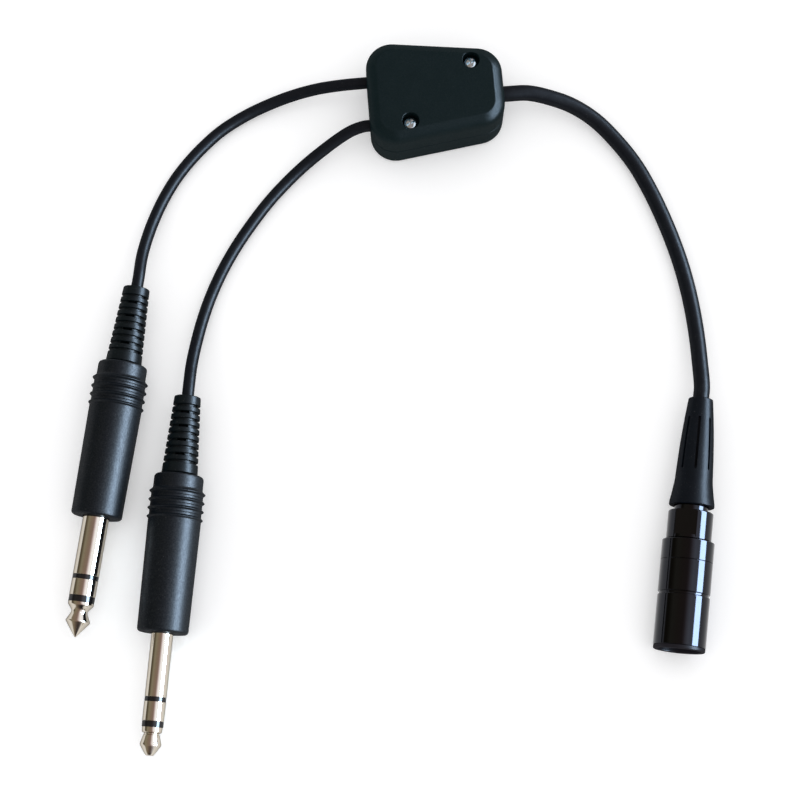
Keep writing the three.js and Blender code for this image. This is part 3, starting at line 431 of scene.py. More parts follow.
@dataclass(frozen=True)
class Lay:
    """Where a round piece lies: +Y runs from its front end towards its cord.

    Args:
        front: X and Y of the front end.
        turn: Degrees, clockwise from above.
        height: Height of the axis over the table.
    """

    front: Pair
    turn: float
    height: float

    def matrix(self) -> Matrix:
        """The piece's own frame in millimetres to the shared frame in metres."""
        place = Matrix.Translation((*self.front, self.height))
        return Matrix.Scale(MM, 4) @ place @ Matrix.Rotation(-math.radians(self.turn), 4, "Z")


def placed(name: str, data: bpy.types.ID) -> Object:
    """Puts an object into the scene.

    Args:
        name: Name of the object.
        data: Its mesh, curve, lamp or camera.

    Returns:
        The object.
    """
    item = bpy.data.objects.new(name, data)
    bpy.context.scene.collection.objects.link(item)
    return item


def eased(corners: Sequence[Point], closed: bool, steps: int = 4) -> list[Pair]:
    """Rounds the corners of a profile.

    Args:
        corners: Radius and place along the axis of each corner, and its rounding if it has one.
        closed: Whether the last corner joins the first.
        steps: Pieces in each rounding.

    Returns:
        The points of the rounded profile.
    """
    points: list[Pair] = []
    count = len(corners)
    for i, corner in enumerate(corners):
        here = Vector(corner[:2])
        rounding = corner[2] if len(corner) > 2 else 0.0
        if rounding <= 0 or (not closed and i in (0, count - 1)):
            points.append(tuple(here))
            continue
        before, after = Vector(corners[i - 1][:2]), Vector(corners[(i + 1) % count][:2])
        start, end = (
            here + (other - here).normalized() * min(rounding, EASE_SHARE * (other - here).length)
            for other in (before, after)
        )
        for step in range(steps + 1):
            share = step / steps
            points.append(tuple(start.lerp(here, share).lerp(here.lerp(end, share), share)))
    return points


def finished(mesh: Mesh, angle: float = SHARP) -> Mesh:
    """Shades a mesh smooth, apart from its sharp edges.

    Args:
        mesh: The mesh.
        angle: Degrees from which an edge stays sharp.

    Returns:
        The same mesh.
    """
    mesh.shade_smooth()
    mesh.set_sharp_from_angle(angle=math.radians(angle))
    return mesh


def mesh_from(build: bmesh.types.BMesh, name: str, matrix: Matrix) -> Mesh:
    """Turns a bmesh into a mesh in the shared frame.

    Args:
        build: The bmesh, which is freed.
        name: Name of the mesh.
        matrix: Its own frame to the shared frame.

    Returns:
        The mesh.
    """
    bmesh.ops.recalc_face_normals(build, faces=build.faces)
    mesh = bpy.data.meshes.new(name)
    build.transform(matrix)
    build.to_mesh(mesh)
    build.free()
    return mesh


def turned(corners: Sequence[Point], matrix: Matrix, sides: int = SIDES) -> Mesh:
    """A piece turned about its own Y axis.

    Args:
        corners: Radius, place along the axis, and rounding of each corner of its profile.
        matrix: Its own frame to the shared frame.
        sides: Facets round it.

    Returns:
        The mesh, closed.
    """
    closed = corners[0][0] > 0
    build = bmesh.new()
    rings: list[list[bmesh.types.BMVert]] = []
    turns = [2 * math.pi * i / sides for i in range(sides)]
    for radius, along in eased(corners, closed):
        if radius < TINY:
            rings.append([build.verts.new((0, along, 0))] * sides)
        else:
            ring = [(radius * math.sin(a), along, radius * math.cos(a)) for a in turns]
            rings.append([build.verts.new(point) for point in ring])
    pairs = list(zip(rings, rings[1:])) + ([(rings[-1], rings[0])] if closed else [])
    for low, high in pairs:
        for i in range(sides):
            j = (i + 1) % sides
            face = list(dict.fromkeys((low[i], low[j], high[j], high[i])))
            if len(face) > 2:
                build.faces.new(face)
    return mesh_from(build, "turned", matrix)


def bar(radius: float, start: Point, end: Point, matrix: Matrix) -> Mesh:
    """A round bar.

    Args:
        radius: Radius of the bar.
        start: Middle of its first end.
        end: Middle of its second end.
        matrix: Its own frame to the shared frame.

    Returns:
        The mesh, closed.
    """
    axis = Vector(end) - Vector(start)
    turn = axis.to_track_quat("Y", "Z").to_matrix().to_4x4()
    corners = [(0, 0), (radius, 0), (radius, axis.length), (0, axis.length)]
    return turned(corners, matrix @ Matrix.Translation(start) @ turn, BAR_SIDES)


def lofted(rings: Sequence[Sequence[Point]], matrix: Matrix) -> Mesh:
    """A solid through rings of as many points each.

    Args:
        rings: The points of each ring, from one end to the other.
        matrix: Its own frame to the shared frame.

    Returns:
        The closed mesh.
    """
    build = bmesh.new()
    layers = [[build.verts.new(point) for point in ring] for ring in rings]
    for low, high in zip(layers, layers[1:]):
        for i in range(len(low)):
            j = (i + 1) % len(low)
            build.faces.new((low[i], low[j], high[j], high[i]))
    build.faces.new(list(reversed(layers[0])))
    build.faces.new(layers[-1])
    return mesh_from(build, "lofted", matrix)


def block(size: Point, centre: Point, matrix: Matrix) -> Mesh:
    """A plain block.

    Args:
        size: Its three sides.
        centre: Its middle.
        matrix: Its own frame to the shared frame.

    Returns:
        The mesh, closed.
    """
    build = bmesh.new()
    bmesh.ops.create_cube(build, size=1.0, matrix=Matrix.Diagonal((*size, 1)))
    return mesh_from(build, "block", matrix @ Matrix.Translation(centre))


def evaluated(work: Object, helpers: Sequence[Object] = ()) -> Mesh:
    """Applies an object's modifiers.

    Args:
        work: The object, which is removed.
        helpers: Objects that its modifiers use, which are removed too.

    Returns:
        The new mesh.
    """
    graph = bpy.context.evaluated_depsgraph_get()
    graph.update()
    result = bpy.data.meshes.new_from_object(work.evaluated_get(graph), depsgraph=graph)
    for item in (work, *helpers):
        bpy.data.objects.remove(item)
    return result


class Combine(Enum):
    """What is done to a mesh with others."""

    JOIN = "UNION"
    CUT = "DIFFERENCE"


def combined(mesh: Mesh, way: Combine, tools: Iterable[Mesh]) -> Mesh:
    """Joins closed meshes to a mesh, or cuts them from it, at a scale that keeps small edges.

    Args:
        mesh: The mesh that is worked on.
        way: Whether the others are joined to it or cut from it.
        tools: Closed meshes, used up here.

    Returns:
        A new mesh.
    """
    grow = Matrix.Scale(1 / MM, 4)
    mesh.transform(grow)
    work = placed("work", mesh)
    helpers = []
    for tool in tools:
        tool.transform(grow)
        helpers.append(placed("tool", tool))
        modifier = work.modifiers.new("combine", "BOOLEAN")
        modifier.operation, modifier.object, modifier.solver = way.value, helpers[-1], "EXACT"
    result = evaluated(work, helpers)
    tidy = bmesh.new()
    tidy.from_mesh(result)
    bmesh.ops.remove_doubles(tidy, verts=tidy.verts, dist=WELD)
    bmesh.ops.dissolve_degenerate(tidy, edges=tidy.edges, dist=WELD)
    tidy.to_mesh(result)
    tidy.free()
    result.transform(grow.inverted())
    return result


def even_normals(mesh: Mesh) -> Mesh:
    """Weights normals by area, so that flat faces stay flat beside rounded edges.

    Args:
        mesh: The mesh.

    Returns:
        A new mesh.
    """
    work = placed("work", mesh)
    work.modifiers.new("weight", "WEIGHTED_NORMAL").keep_sharp = True
    return evaluated(work)


# ---- Pieces ----


def add_piece(
    name: str,
    data: bpy.types.ID,
    finish: Finish,
    body: str,
    nodes: Sequence[str] = (),
    matrix: Optional[Matrix] = None,
) -> Object:
    """Makes a piece that rides on its body in place of its CAD nodes, and reports it.

    Args:
        name: Name of the piece.
        data: Its mesh or curve in the shared frame.
        finish: Its finish.
        body: The body that it rides on.
        nodes: CAD nodes that it stands for.
        matrix: Its own frame to the shared frame, if turned lines may run round it.

    Returns:
        The object.
    """
    if matrix is not None:
        back = matrix.inverted()
        along = data.attributes.get("along") or data.attributes.new("along", "FLOAT", "POINT")
        along.data.foreach_set("value", [(back @ vertex.co).y * MM for vertex in data.vertices])
    data.name = name
    data.materials.clear()
    data.materials.append(finish.material())
    piece = placed(name, data)
    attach(piece, body)
    if nodes:
        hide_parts(*nodes)
    LOG.info("%s on %s: %s", name, body, finish.name)
    return piece


def dress_node(node: str, finish: Finish) -> Object:
    """Gives a CAD node that stays in view its finish.

    Args:
        node: Name of the node.
        finish: Its finish.

    Returns:
        The node's object.
    """
    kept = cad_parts[node]
    kept.data.materials.clear()
    kept.data.materials.append(finish.material())
    LOG.info("%s keeps its shape: %s", node, finish.name)
    return kept


def smooth_route(points: Sequence[Vector], step: float) -> list[Vector]:
    """The centripetal curve through a cord's points.

    Args:
        points: Points in metres.
        step: Rough distance between the points of the curve, in millimetres.

    Returns:
        Points on the curve, ends included.
    """
    first, last = 2 * points[0] - points[1], 2 * points[-1] - points[-2]
    padded = [first, *points, last]
    curve: list[Vector] = []
    for a, b, c, d in zip(padded, padded[1:], padded[2:], padded[3:]):
        knots = [0.0]
        for start, end in ((a, b), (b, c), (c, d)):
            knots.append(knots[-1] + max((end - start).length, 1e-9) ** 0.5)
        t0, t1, t2, t3 = knots
        pieces = max(1, round((c - b).length / (step * MM)))
        for i in range(pieces):
            t = t1 + (t2 - t1) * i / pieces
            ab, bc = a.lerp(b, (t - t0) / (t1 - t0)), b.lerp(c, (t - t1) / (t2 - t1))
            cd = c.lerp(d, (t - t2) / (t3 - t2))
            abc, bcd = ab.lerp(bc, (t - t0) / (t2 - t0)), bc.lerp(cd, (t - t1) / (t3 - t1))
            curve.append(abc.lerp(bcd, (t - t1) / (t2 - t1)))
    curve.append(points[-1].copy())
    return curve


def tube_piece(name: str, points: Sequence[Vector], radius: float, finish: Finish, node: str) -> Object:
    """A cord or lead as a round curve.

    Args:
        name: Name of the piece.
        points: Points of its centreline, in metres.
        radius: Its radius in millimetres.
        finish: Its finish.
        node: The CAD node that it stands for.

    Returns:
        The object.
    """
    curve = bpy.data.curves.new(name, "CURVE")
    curve.dimensions = "3D"
    curve.bevel_depth = radius * MM
    curve.bevel_resolution = TUBE_RESOLUTION
    curve.use_fill_caps = True
    spline = curve.splines.new("POLY")
    spline.points.add(len(points) - 1)
    for place, point in zip(spline.points, points):
        place.co = (*point, 1)
    spline.use_smooth = True
    return add_piece(name, curve, finish, "lead", [node])


# ---- Junction box ----


@dataclass(frozen=True)
class CordExit:
    """A cord's place in the box's own plan.

    Args:
        name: The cord's name.
        side: -1 for the two-cord face, 1 for the other.
        across: Y of its hole.
        radius: Radius of the cord.
        leads: Leads inside it.
    """

    name: str
    side: int
    across: float
    radius: float
    leads: int


@dataclass
class JunctionBox:
    """The screwed box where the three cords are joined."""

    length: float = 34.2
    depth: float = 24.0
    height: float = 16.0
    taper: float = 7.6
    corner: float = 6.5
    least_corner: float = 0.45
    wall: float = 2.0
    floor: float = 2.0
    roof: float = 2.2
    seam: float = 7.4
    seam_gap: float = 0.25
    seam_edge: Pair = (0.14, 0.12)
    turn: float = 4.6
    lid_edge: tuple[Pair, ...] = (
        (0.0, 3.1), (0.08, 2.6), (0.24, 2.1), (0.48, 1.66), (0.85, 1.25), (1.3, 0.87),
        (1.8, 0.50), (2.3, 0.16), (2.42, 0.09), (2.54, 0.035), (2.7, 0.0),
    )
    base_round: float = 1.1
    base_round_steps: int = 6
    lip_depth: float = 1.6
    lip_wall: float = 0.9
    lip_gap: float = 0.25
    lip_edge: float = 0.2
    screws: tuple[Point, Point] = ((9.4, 6.6), (-7.0, -8.3))
    boss_radius: float = 2.6
    screw_radius: float = 1.1
    screw_tip: float = 3.2
    point: tuple[Point, ...] = ((0, 0), (0.55, 0), (0.85, 0.5))
    thread_from: float = 0.7
    thread_to: float = 1.2
    thread_root: float = 0.86
    thread_pitch: float = 0.8
    thread_flank: float = 0.3
    head_under: float = 12.6
    head: tuple[Point, ...] = (
        (0.9, -0.4), (0.9, 0), (1.9, 0, 0.08), (1.9, 0.75, 0.35), (1.52, 1.38, 0.4), (0.855, 1.5), (0, 1.5),
    )
    cross_top: Pair = (1.15, 0.275)
    cross_foot: Pair = (0.75, 0.2)
    cross_depth: float = 0.8
    cross_turns: Pair = (20.0, 110.0)
    counterbore: float = 2.15
    counterbore_wall: float = 1.0
    counterbore_edge: float = 0.12
    post_radius: float = 1.5
    post_spread: float = 4.5
    board: Point = (14.0, 11.0, 1.0)
    board_z: float = 4.2
    tie_from: float = 13.65
    tie_width: float = 2.4
    tail: float = 1.0
    lead_radius: float = 0.2
    lead_pitch: float = 0.55
    pad_pitch: float = 1.5
    pad_share: float = 0.5
    pad_inset: float = 1.0
    pad_radius: float = 0.55
    pad_height: float = 0.55
    pad_facets: tuple[int, int] = (16, 8)
    lead_step: float = 0.4
    sharp: float = 30.0
    exits: tuple[CordExit, ...] = (
        CordExit("headphone", -1, 5.8, 1.5, 3),
        CordExit("microphone", -1, -5.8, 1.5, 3),
        CordExit("socket", 1, 0.0, 2.0, 6),
    )

    def matrix(self) -> Matrix:
        """The box's own frame in millimetres to the shared frame in metres."""
        return Matrix.Scale(MM, 4) @ Matrix.Rotation(math.radians(self.turn), 4, "Z")

    def upright(self, place: Point) -> Matrix:
        """The frame of an upright turned piece, from X and Y of its axis."""
        return self.matrix() @ Matrix.Translation((*place, 0)) @ Matrix.Rotation(math.pi / 2, 4, "X")

    def cord_end(self) -> float:
        """Distance of the cords' ends from the middle of the box."""
        return self.tie_from - self.tie_width - self.tail

    def outline(self, inset: float, steps: int = 14) -> list[Pair]:
        """The tapered plan with round corners, drawn in by an inset.

        Args:
            inset: How far inside the outer face.
            steps: Pieces in each corner.

        Returns:
            The points of the plan, anticlockwise.
        """
        lean = math.radians(self.taper)
        radius = max(self.corner - inset, self.least_corner)
        x = self.length / 2 - inset - radius
        near, far = (
            self.depth / 2 - (inset + radius) / math.cos(lean) - at * math.tan(lean) for at in (x, -x)
        )
        quarter = math.pi / 2
        corners = [
            (x, near, 0.0, quarter - lean),
            (-x, far, quarter - lean, math.pi),
            (-x, -far, math.pi, 3 * quarter + lean),
            (x, -near, 3 * quarter + lean, 4 * quarter),
        ]
        ring = []
        for cx, cy, start, end in corners:
            for step in range(steps + 1):
                angle = start + (end - start) * step / steps
                ring.append((cx + radius * math.cos(angle), cy + radius * math.sin(angle)))
        return ring

    def stack(self, *levels: Pair) -> Mesh:
        """A solid through rings of the plan, from each ring's height and inset."""
        return lofted([[(x, y, z) for x, y in self.outline(inset)] for z, inset in levels], self.matrix())

    def bars(self, radius: float, low: float, high: float, places: Iterable[Point]) -> list[Mesh]:
        """Upright round bars in the box's frame."""
        return [bar(radius, (*place, low), (*place, high), self.matrix()) for place in places]

    def cord_holes(self, opened: float) -> list[Mesh]:
        """Cutters for the holes of the cords.

        Args:
            opened: How far each hole is open downwards through the lip.

        Returns:
            The cutting meshes.
        """
        tools = []
        reach = self.lip_wall + self.wall + self.lip_gap + FIT + SEAT
        outside = self.length / 2
        for exit_ in self.exits:
            wide = exit_.radius + RUN
            start, end = (
                (exit_.side * x, exit_.across, self.seam) for x in (outside - reach, outside + OVERRUN)
            )
            tools.append(bar(wide, start, end, self.matrix()))
            if opened:
                middle = (exit_.side * (outside - reach / 2), exit_.across, self.seam - opened / 2)
                tools.append(block((reach, 2 * wide, opened), middle, self.matrix()))
        return tools

    def base(self) -> Mesh:
        """The lower shell with its bosses and board posts.

        Returns:
            The mesh.
        """
        top, (edge_height, edge_depth) = self.seam, self.seam_edge
        turns = [math.pi / 2 * step / self.base_round_steps for step in range(self.base_round_steps + 1)]
        levels = [(self.base_round * (1 - math.cos(a)), self.base_round * (1 - math.sin(a))) for a in turns]
        shell = self.stack(*levels, (top - edge_height, 0.0), (top, edge_depth))
        hollow = self.stack((self.floor, self.wall), (top + OVERRUN, self.wall))
        shell = combined(shell, Combine.CUT, [hollow])
        root = self.floor / 2
        posts = [(-self.post_spread, 0), (self.post_spread, 0)]
        standing = self.bars(self.post_radius, root, self.board_z - SEAT, posts)
        standing += self.bars(self.boss_radius, root, top - SEAT, self.screws)
        shell = combined(shell, Combine.JOIN, standing)
        pilots = self.bars(self.screw_radius + FIT, self.screw_tip - SEAT, top + OVERRUN, self.screws)
        return combined(shell, Combine.CUT, pilots + self.cord_holes(0.0))

    def lid(self) -> Mesh:
        """The upper shell with its lip and screw bosses.

        Returns:
            The mesh.
        """
        low, top = self.seam + self.seam_gap, self.height
        under, (edge_height, edge_depth) = top - self.roof, self.seam_edge
        edge = [(top - drop, inset) for inset, drop in self.lid_edge]
        shell = self.stack((low, edge_depth), (low + edge_height, 0.0), *edge)
        hollow = self.stack((low - OVERRUN, self.wall), (under, self.wall))
        shell = combined(shell, Combine.CUT, [hollow])
        outside, lip_low = self.wall + self.lip_gap, self.seam - self.lip_depth
        inside, root_to = outside + self.lip_wall, under + OVERRUN
        lip = self.stack(
            (lip_low, outside + self.lip_edge), (lip_low + self.lip_edge, outside), (root_to, outside)
        )
        lip = combined(lip, Combine.CUT, [self.stack((lip_low - OVERRUN, inside), (under, inside))])
        root = self.stack((under - self.lip_wall, self.wall - FIT), (under + FIT, self.wall - FIT))
        shell = combined(shell, Combine.JOIN, [lip, root])
        gaps = self.bars(self.boss_radius + SEAT, lip_low - OVERRUN, self.seam, self.screws)
        shell = combined(shell, Combine.CUT, gaps)
        bore = self.counterbore
        bosses = self.bars(bore + self.counterbore_wall, low + SEAT, root_to, self.screws)
        shell = combined(shell, Combine.JOIN, bosses)
        clear, seat, over = self.screw_radius + RUN, self.head_under - SEAT, top + OVERRUN
        edge_to = self.counterbore_edge
        hole = [
            (0, 0), (clear, 0), (clear, seat), (bore, seat), (bore, top - edge_to),
            (bore + 2 * edge_to, top + edge_to), (bore + 2 * edge_to, over), (0, over),
        ]
        holes = [turned(hole, self.upright(place), BORE_SIDES) for place in self.screws]
        return combined(shell, Combine.CUT, holes + self.cord_holes(2 * self.lip_depth))

    def screw(self, place: Point) -> Mesh:
        """A lid screw with its cross recess and thread.

        Args:
            place: X and Y of its axis.

        Returns:
            The mesh.
        """
        corners: list[Point] = [(radius, self.screw_tip + up) for radius, up in self.point]
        turn, flank = self.screw_tip + self.thread_from, self.thread_flank
        while turn < self.head_under - self.thread_to:
            corners += [(self.thread_root, turn), (self.screw_radius, turn + flank)]
            corners.append((self.thread_root, turn + 2 * flank))
            turn += self.thread_pitch
        corners += [(radius, self.head_under + up, *rounding) for radius, up, *rounding in self.head]
        top = corners[-1][1]
        levels = ((self.cross_foot, top - self.cross_depth), (self.cross_top, top + FIT))
        tools = []
        for turned_by in self.cross_turns:
            spin = Matrix.Rotation(math.radians(turned_by), 4, "Z")
            rings = [
                [(-half, -wide, z), (half, -wide, z), (half, wide, z), (-half, wide, z)]
                for (half, wide), z in levels
            ]
            tools.append(lofted(rings, self.matrix() @ Matrix.Translation((*place, 0)) @ spin))
        return combined(turned(corners, self.upright(place), BAR_SIDES), Combine.CUT, tools)

    def lead_points(self, exit_: CordExit, index: int) -> list[Vector]:
        """Route of one lead from its cord's end to its pad, in metres.

        Args:
            exit_: The cord that it comes from.
            index: Its place in the row of leads.

        Returns:
            The points of its centreline.
        """
        rank = index - (exit_.leads - 1) / 2
        start = (exit_.side * (self.cord_end() - SEAT), exit_.across + rank * self.lead_pitch, self.seam)
        end = (
            exit_.side * (self.board[0] / 2 - self.pad_inset),
            exit_.across * self.pad_share + rank * self.pad_pitch,
            self.board_z + self.board[2] + SEAT,
        )
        middle = (Vector(start) + Vector(end)) / 2
        points = [self.matrix() @ Vector(point) for point in (start, middle, end)]
        return smooth_route(points, self.lead_step)

    def build(self) -> None:
        """Builds and dresses the box's pieces."""
        for name, mesh, body in (("base", self.base(), "lead"), ("lid", self.lid(), "lid")):
            shaded = even_normals(finished(mesh, self.sharp))
            add_piece(f"{name}_case", shaded, CASE, body, [f"{name}_shell"])
        for i, place in enumerate(self.screws, 1):
            mesh, node = finished(self.screw(place)), f"lid_screw_{i}"
            add_piece(f"cross_head_screw_{i}", mesh, STEEL, node, [node], self.upright(place))
        dress_node("splice_board", BOARD)
        pads = bmesh.new()
        for exit_ in self.exits:
            dress_node(f"{exit_.name}_cable_tie", NYLON)
            for index in range(exit_.leads):
                name, points = f"{exit_.name}_wire_{index + 1}", self.lead_points(exit_, index)
                node = f"{exit_.name}_lead_{index + 1}"
                tube_piece(name, points, self.lead_radius, LEAD_FINISHES[index], node)
                pad = (*points[-1].xy, (self.board_z + self.board[2]) * MM)
                dome = Matrix.Translation(pad) @ Matrix.Diagonal((1, 1, self.pad_height, 1))
                round_, up = self.pad_facets
                size = {"u_segments": round_, "v_segments": up, "radius": self.pad_radius * MM}
                bmesh.ops.create_uvsphere(pads, matrix=dome, **size)
        mesh = bpy.data.meshes.new("pads")
        pads.to_mesh(mesh)
        pads.free()
        add_piece("solder_pads", finished(mesh), SOLDER, "lead")


# ---- Plugs ----


@dataclass(frozen=True)
class Finger:
    """The contacts of a plug's finger.

    Args:
        length: Tip to handle.
        radius: Radius of the finger.
        rod: Radius of the tip contact's rod.
        wall: Wall of each tube that nests round the rod.
        tip: Profile of the tip contact, from its point.
        bands: Widths of front insulator, ring contact and rear insulator.
    """

    length: float
    radius: float
    rod: float
    wall: float
    tip: tuple[Point, ...]
    bands: tuple[float, float, float]


HEADPHONE_FINGER = Finger(
    length=29.4, radius=3.175, rod=0.9, wall=0.4,
    tip=(
        (0.14, 0.04, 0.05), (0.35, 0.30, 0.2), (2.87, 3.62, 0.2), (3.00, 3.88, 0.12), (2.84, 4.15, 0.3),
        (2.05, 5.75, 0.5), (1.95, 6.28, 0.3), (2.25, 6.80, 0.4), (3.02, 7.70, 0.2), (3.12, 7.95, 0.1),
        (3.12, 8.40),
    ),
    bands=(1.45, 3.95, 1.0),
)
MICROPHONE_FINGER = Finger(
    length=29.1, radius=2.615, rod=0.7, wall=0.3,
    tip=(
        (0.92, 0.05, 0.2), (1.40, 0.70, 0.3), (2.46, 2.30, 0.2), (2.60, 2.66, 0.2), (2.44, 3.30, 0.3),
        (2.16, 4.20, 0.3), (2.02, 4.80, 0.1), (1.84, 5.00, 0.08), (1.84, 5.28, 0.08), (2.28, 5.45, 0.1),
        (2.40, 5.75, 0.1), (2.45, 6.62, 0.05), (2.45, 6.70),
    ),
    bands=(1.35, 4.55, 1.0),
)


@dataclass
class Plug:
    """A moulded plug: finger, ribbed handle and slotted strain relief."""

    name: str
    finger: Finger
    lay: Lay
    handle_length: float = 38.5
    front_radius: float = 6.2
    front_length: float = 2.0
    back_radius: float = 6.45
    neck_radius: float = 6.05
    edge: float = 0.9
    cavity: float = 5.0
    front_wall: float = 2.2
    back_wall: float = 3.2
    ribs: int = 4
    rib_radius: float = 6.85
    rib_pitch: float = 2.1
    rib_half: float = 0.45
    rib_crest: float = 0.06
    rib_from_back: float = 4.3
    score: float = 0.12
    relief_length: float = 19.4
    relief_base: float = 4.45
    relief_top: float = 3.25
    rings: int = 9
    ring_pitch: float = 1.76
    groove: float = 0.65
    groove_depth: float = 0.75
    window: float = 2.3
    window_gap: float = 0.02
    collar: float = 2.2
    relief_neck: float = 3.6
    flange: float = 2.0
    pocket: float = 4.0
    cord_radius: float = 1.5
    contact_flange: float = 1.6
    terminal_step: float = 1.9
    band_sink: float = 0.04
    bore_ease: float = 0.1
    front_ease: float = 0.5
    foot_ease: float = 0.12
    crest_ease: float = 0.1
    score_ease: float = 0.04
    neck_ease: float = 0.15
    back_ease: float = 0.2
    relief_ease: float = 0.25
    groove_ease: Pair = (0.16, 0.08)
    mouth_ease: Pair = (0.3, 0.12)
    band_ease: float = 0.05
    sleeve_ease: float = 0.08
    relief_sharp: float = 30.0
    contact_sharp: float = 38.0

    def back(self) -> float:
        """Place of the handle's back face."""
        return self.finger.length + self.handle_length

    def mouth(self) -> float:
        """Place where the cord enters the strain relief."""
        return self.back() + SEAT + self.relief_length

    def cord_stop(self) -> float:
        """Place of the cord's end, in the pocket of the moulded core."""
        return self.back() - self.back_wall - SEAT - self.flange - self.pocket

    def handle(self) -> Mesh:
        """The ribbed handle, hollow inside.

        Returns:
            The mesh.
        """
        front, back, bore = self.finger.length, self.back(), self.finger.radius + FIT
        last, half, score = back - self.rib_from_back, self.rib_half, self.score
        crests = [last - (self.ribs - 1 - i) * self.rib_pitch for i in range(self.ribs)]
        foot = self.back_radius - FIT
        corners: list[Point] = [
            (bore, front, self.bore_ease),
            (self.front_radius, front, self.edge),
            (self.front_radius, front + self.front_length, self.front_ease),
            (self.back_radius, crests[0] - half, self.foot_ease),
        ]
        for crest in crests:
            for side in (-1, 1):
                corners.append((self.rib_radius, crest + side * self.rib_crest, self.crest_ease))
            corners.append((foot, crest + half, self.foot_ease))
            if crest != crests[-1]:
                middle = crest + self.rib_pitch / 2
                dip = ((foot, -score), (foot - score, 0), (foot, score))
                corners += [(radius, middle + along, self.score_ease) for radius, along in dip]
                corners.append((foot, crest + self.rib_pitch - half, self.foot_ease))
        cavity_from, cavity_to = front + self.front_wall, back - self.back_wall
        corners += [
            (self.neck_radius, last + 2 * half, self.neck_ease),
            (self.neck_radius, back, self.edge),
            (self.relief_neck + FIT, back, self.back_ease),
            (self.relief_neck + FIT, cavity_to),
            (self.cavity, cavity_to),
            (self.cavity, cavity_from),
            (bore, cavity_from),
        ]
        return turned(corners, self.lay.matrix())

    def relief(self) -> Mesh:
        """The strain relief, ringed with grooves that open into windows.

        Returns:
            The mesh.
        """
        seat, flange_to = self.back() + SEAT, self.back() - self.back_wall - SEAT
        bore, rim = self.cord_radius + RUN, self.cavity - SEAT
        edge, inside = self.groove_ease

        def surface(along: float) -> float:
            """Radius of the taper."""
            return self.relief_base + (self.relief_top - self.relief_base) * along / self.relief_length

        corners: list[Point] = [
            (bore, flange_to - self.flange),
            (rim, flange_to - self.flange),
            (rim, flange_to),
            (self.relief_neck, flange_to),
            (self.relief_neck, seat),
            (self.relief_base, seat, self.relief_ease),
        ]
        grooves = [self.relief_length - self.collar - i * self.ring_pitch for i in range(self.rings)]
        for high in reversed(grooves):
            low, floor = high - self.groove, surface(high) - self.groove_depth
            corners += [(surface(low), seat + low, edge), (floor, seat + low, inside)]
            corners += [(floor, seat + high, inside), (surface(high), seat + high, edge)]
        outer, inner = self.mouth_ease
        corners += [(self.relief_top, self.mouth(), outer), (bore, self.mouth(), inner)]
        tools = []
        for ring, high in enumerate(grooves):
            size = (self.window, self.groove - self.window_gap, 2 * self.relief_base)
            middle = (0, seat + high - self.groove / 2, 0)
            tools.append(block(size if ring % 2 else size[::-1], middle, self.lay.matrix()))
        return combined(turned(corners, self.lay.matrix(), CUT_SIDES), Combine.CUT, tools)

    def contacts(self) -> dict[str, tuple[list[Point], Finish]]:
        """The pieces of the finger, with their tubes inside the handle.

        Returns:
            Profile and finish of each piece, by its name.
        """
        finger, rim = self.finger, self.cavity - SEAT
        inner = [finger.rod + FIT + i * (finger.wall + FIT) for i in range(4)]
        flange_from = finger.length + self.front_wall + SEAT
        flange_to = flange_from + self.contact_flange
        tails = [flange_to + rank * self.terminal_step for rank in range(6)]
        tip_length = finger.tip[-1][1]
        starts, ends = [tip_length + BAND_GAP], []
        for width in finger.bands:
            ends.append(starts[-1] + width)
            starts.append(ends[-1] + BAND_GAP)

        def band(rank: int, sink: float) -> list[Point]:
            """A band of the finger with its tube, whose edges are broken.

            Args:
                rank: Its place behind the tip.
                sink: How far it lies under the finger's surface.

            Returns:
                Its profile.
            """
            start, end, tail = starts[rank], ends[rank], tails[4 - rank]
            radius, hole = finger.radius - sink, inner[rank]
            outer = hole + finger.wall
            edges = [(radius, along, self.band_ease) for along in (start, end)]
            return [(hole, start), *edges, (outer, end), (outer, tail), (hole, tail)]

        hole, outer = inner[3], inner[3] + finger.wall
        tip = [(0, 0), *finger.tip, (finger.rod, tip_length), (finger.rod, tails[5]), (0, tails[5])]
        sleeve = [
            (hole, starts[3]), (finger.radius, starts[3], self.sleeve_ease),
            (finger.radius, flange_from), (rim, flange_from), (rim, flange_to), (outer, flange_to),
            (outer, tails[1]), (hole, tails[1]),
        ]
        return {
            "tip_contact": (tip, NICKEL),
            "front_insulator": (band(0, self.band_sink), BAND),
            "ring_contact": (band(1, 0.0), NICKEL),
            "rear_insulator": (band(2, self.band_sink), BAND),
            "sleeve_contact": (sleeve, NICKEL),
        }

    def build(self) -> list[Object]:
        """Builds and dresses the plug.

        Returns:
            Its pieces, which lie on the end of its cord.
        """
        matrix, relief = self.lay.matrix(), finished(self.relief(), self.relief_sharp)
        shapes = [
            ("grip", finished(self.handle()), HANDLE, "handle"),
            ("flex_relief", even_normals(relief), RELIEF, "strain_relief"),
        ]
        for part, (corners, finish) in self.contacts().items():
            mesh = finished(turned(corners, matrix), self.contact_sharp)
            shapes.append((f"{part}_turned", mesh, finish, part))
        pieces = []
        for part, mesh, finish, node in shapes:
            nodes = [f"{self.name}_{node}"]
            pieces.append(add_piece(f"{self.name}_{part}", mesh, finish, "lead", nodes, matrix))
        return pieces + [dress_node(f"{self.name}_core", CORE)]


# ---- In-line socket ----


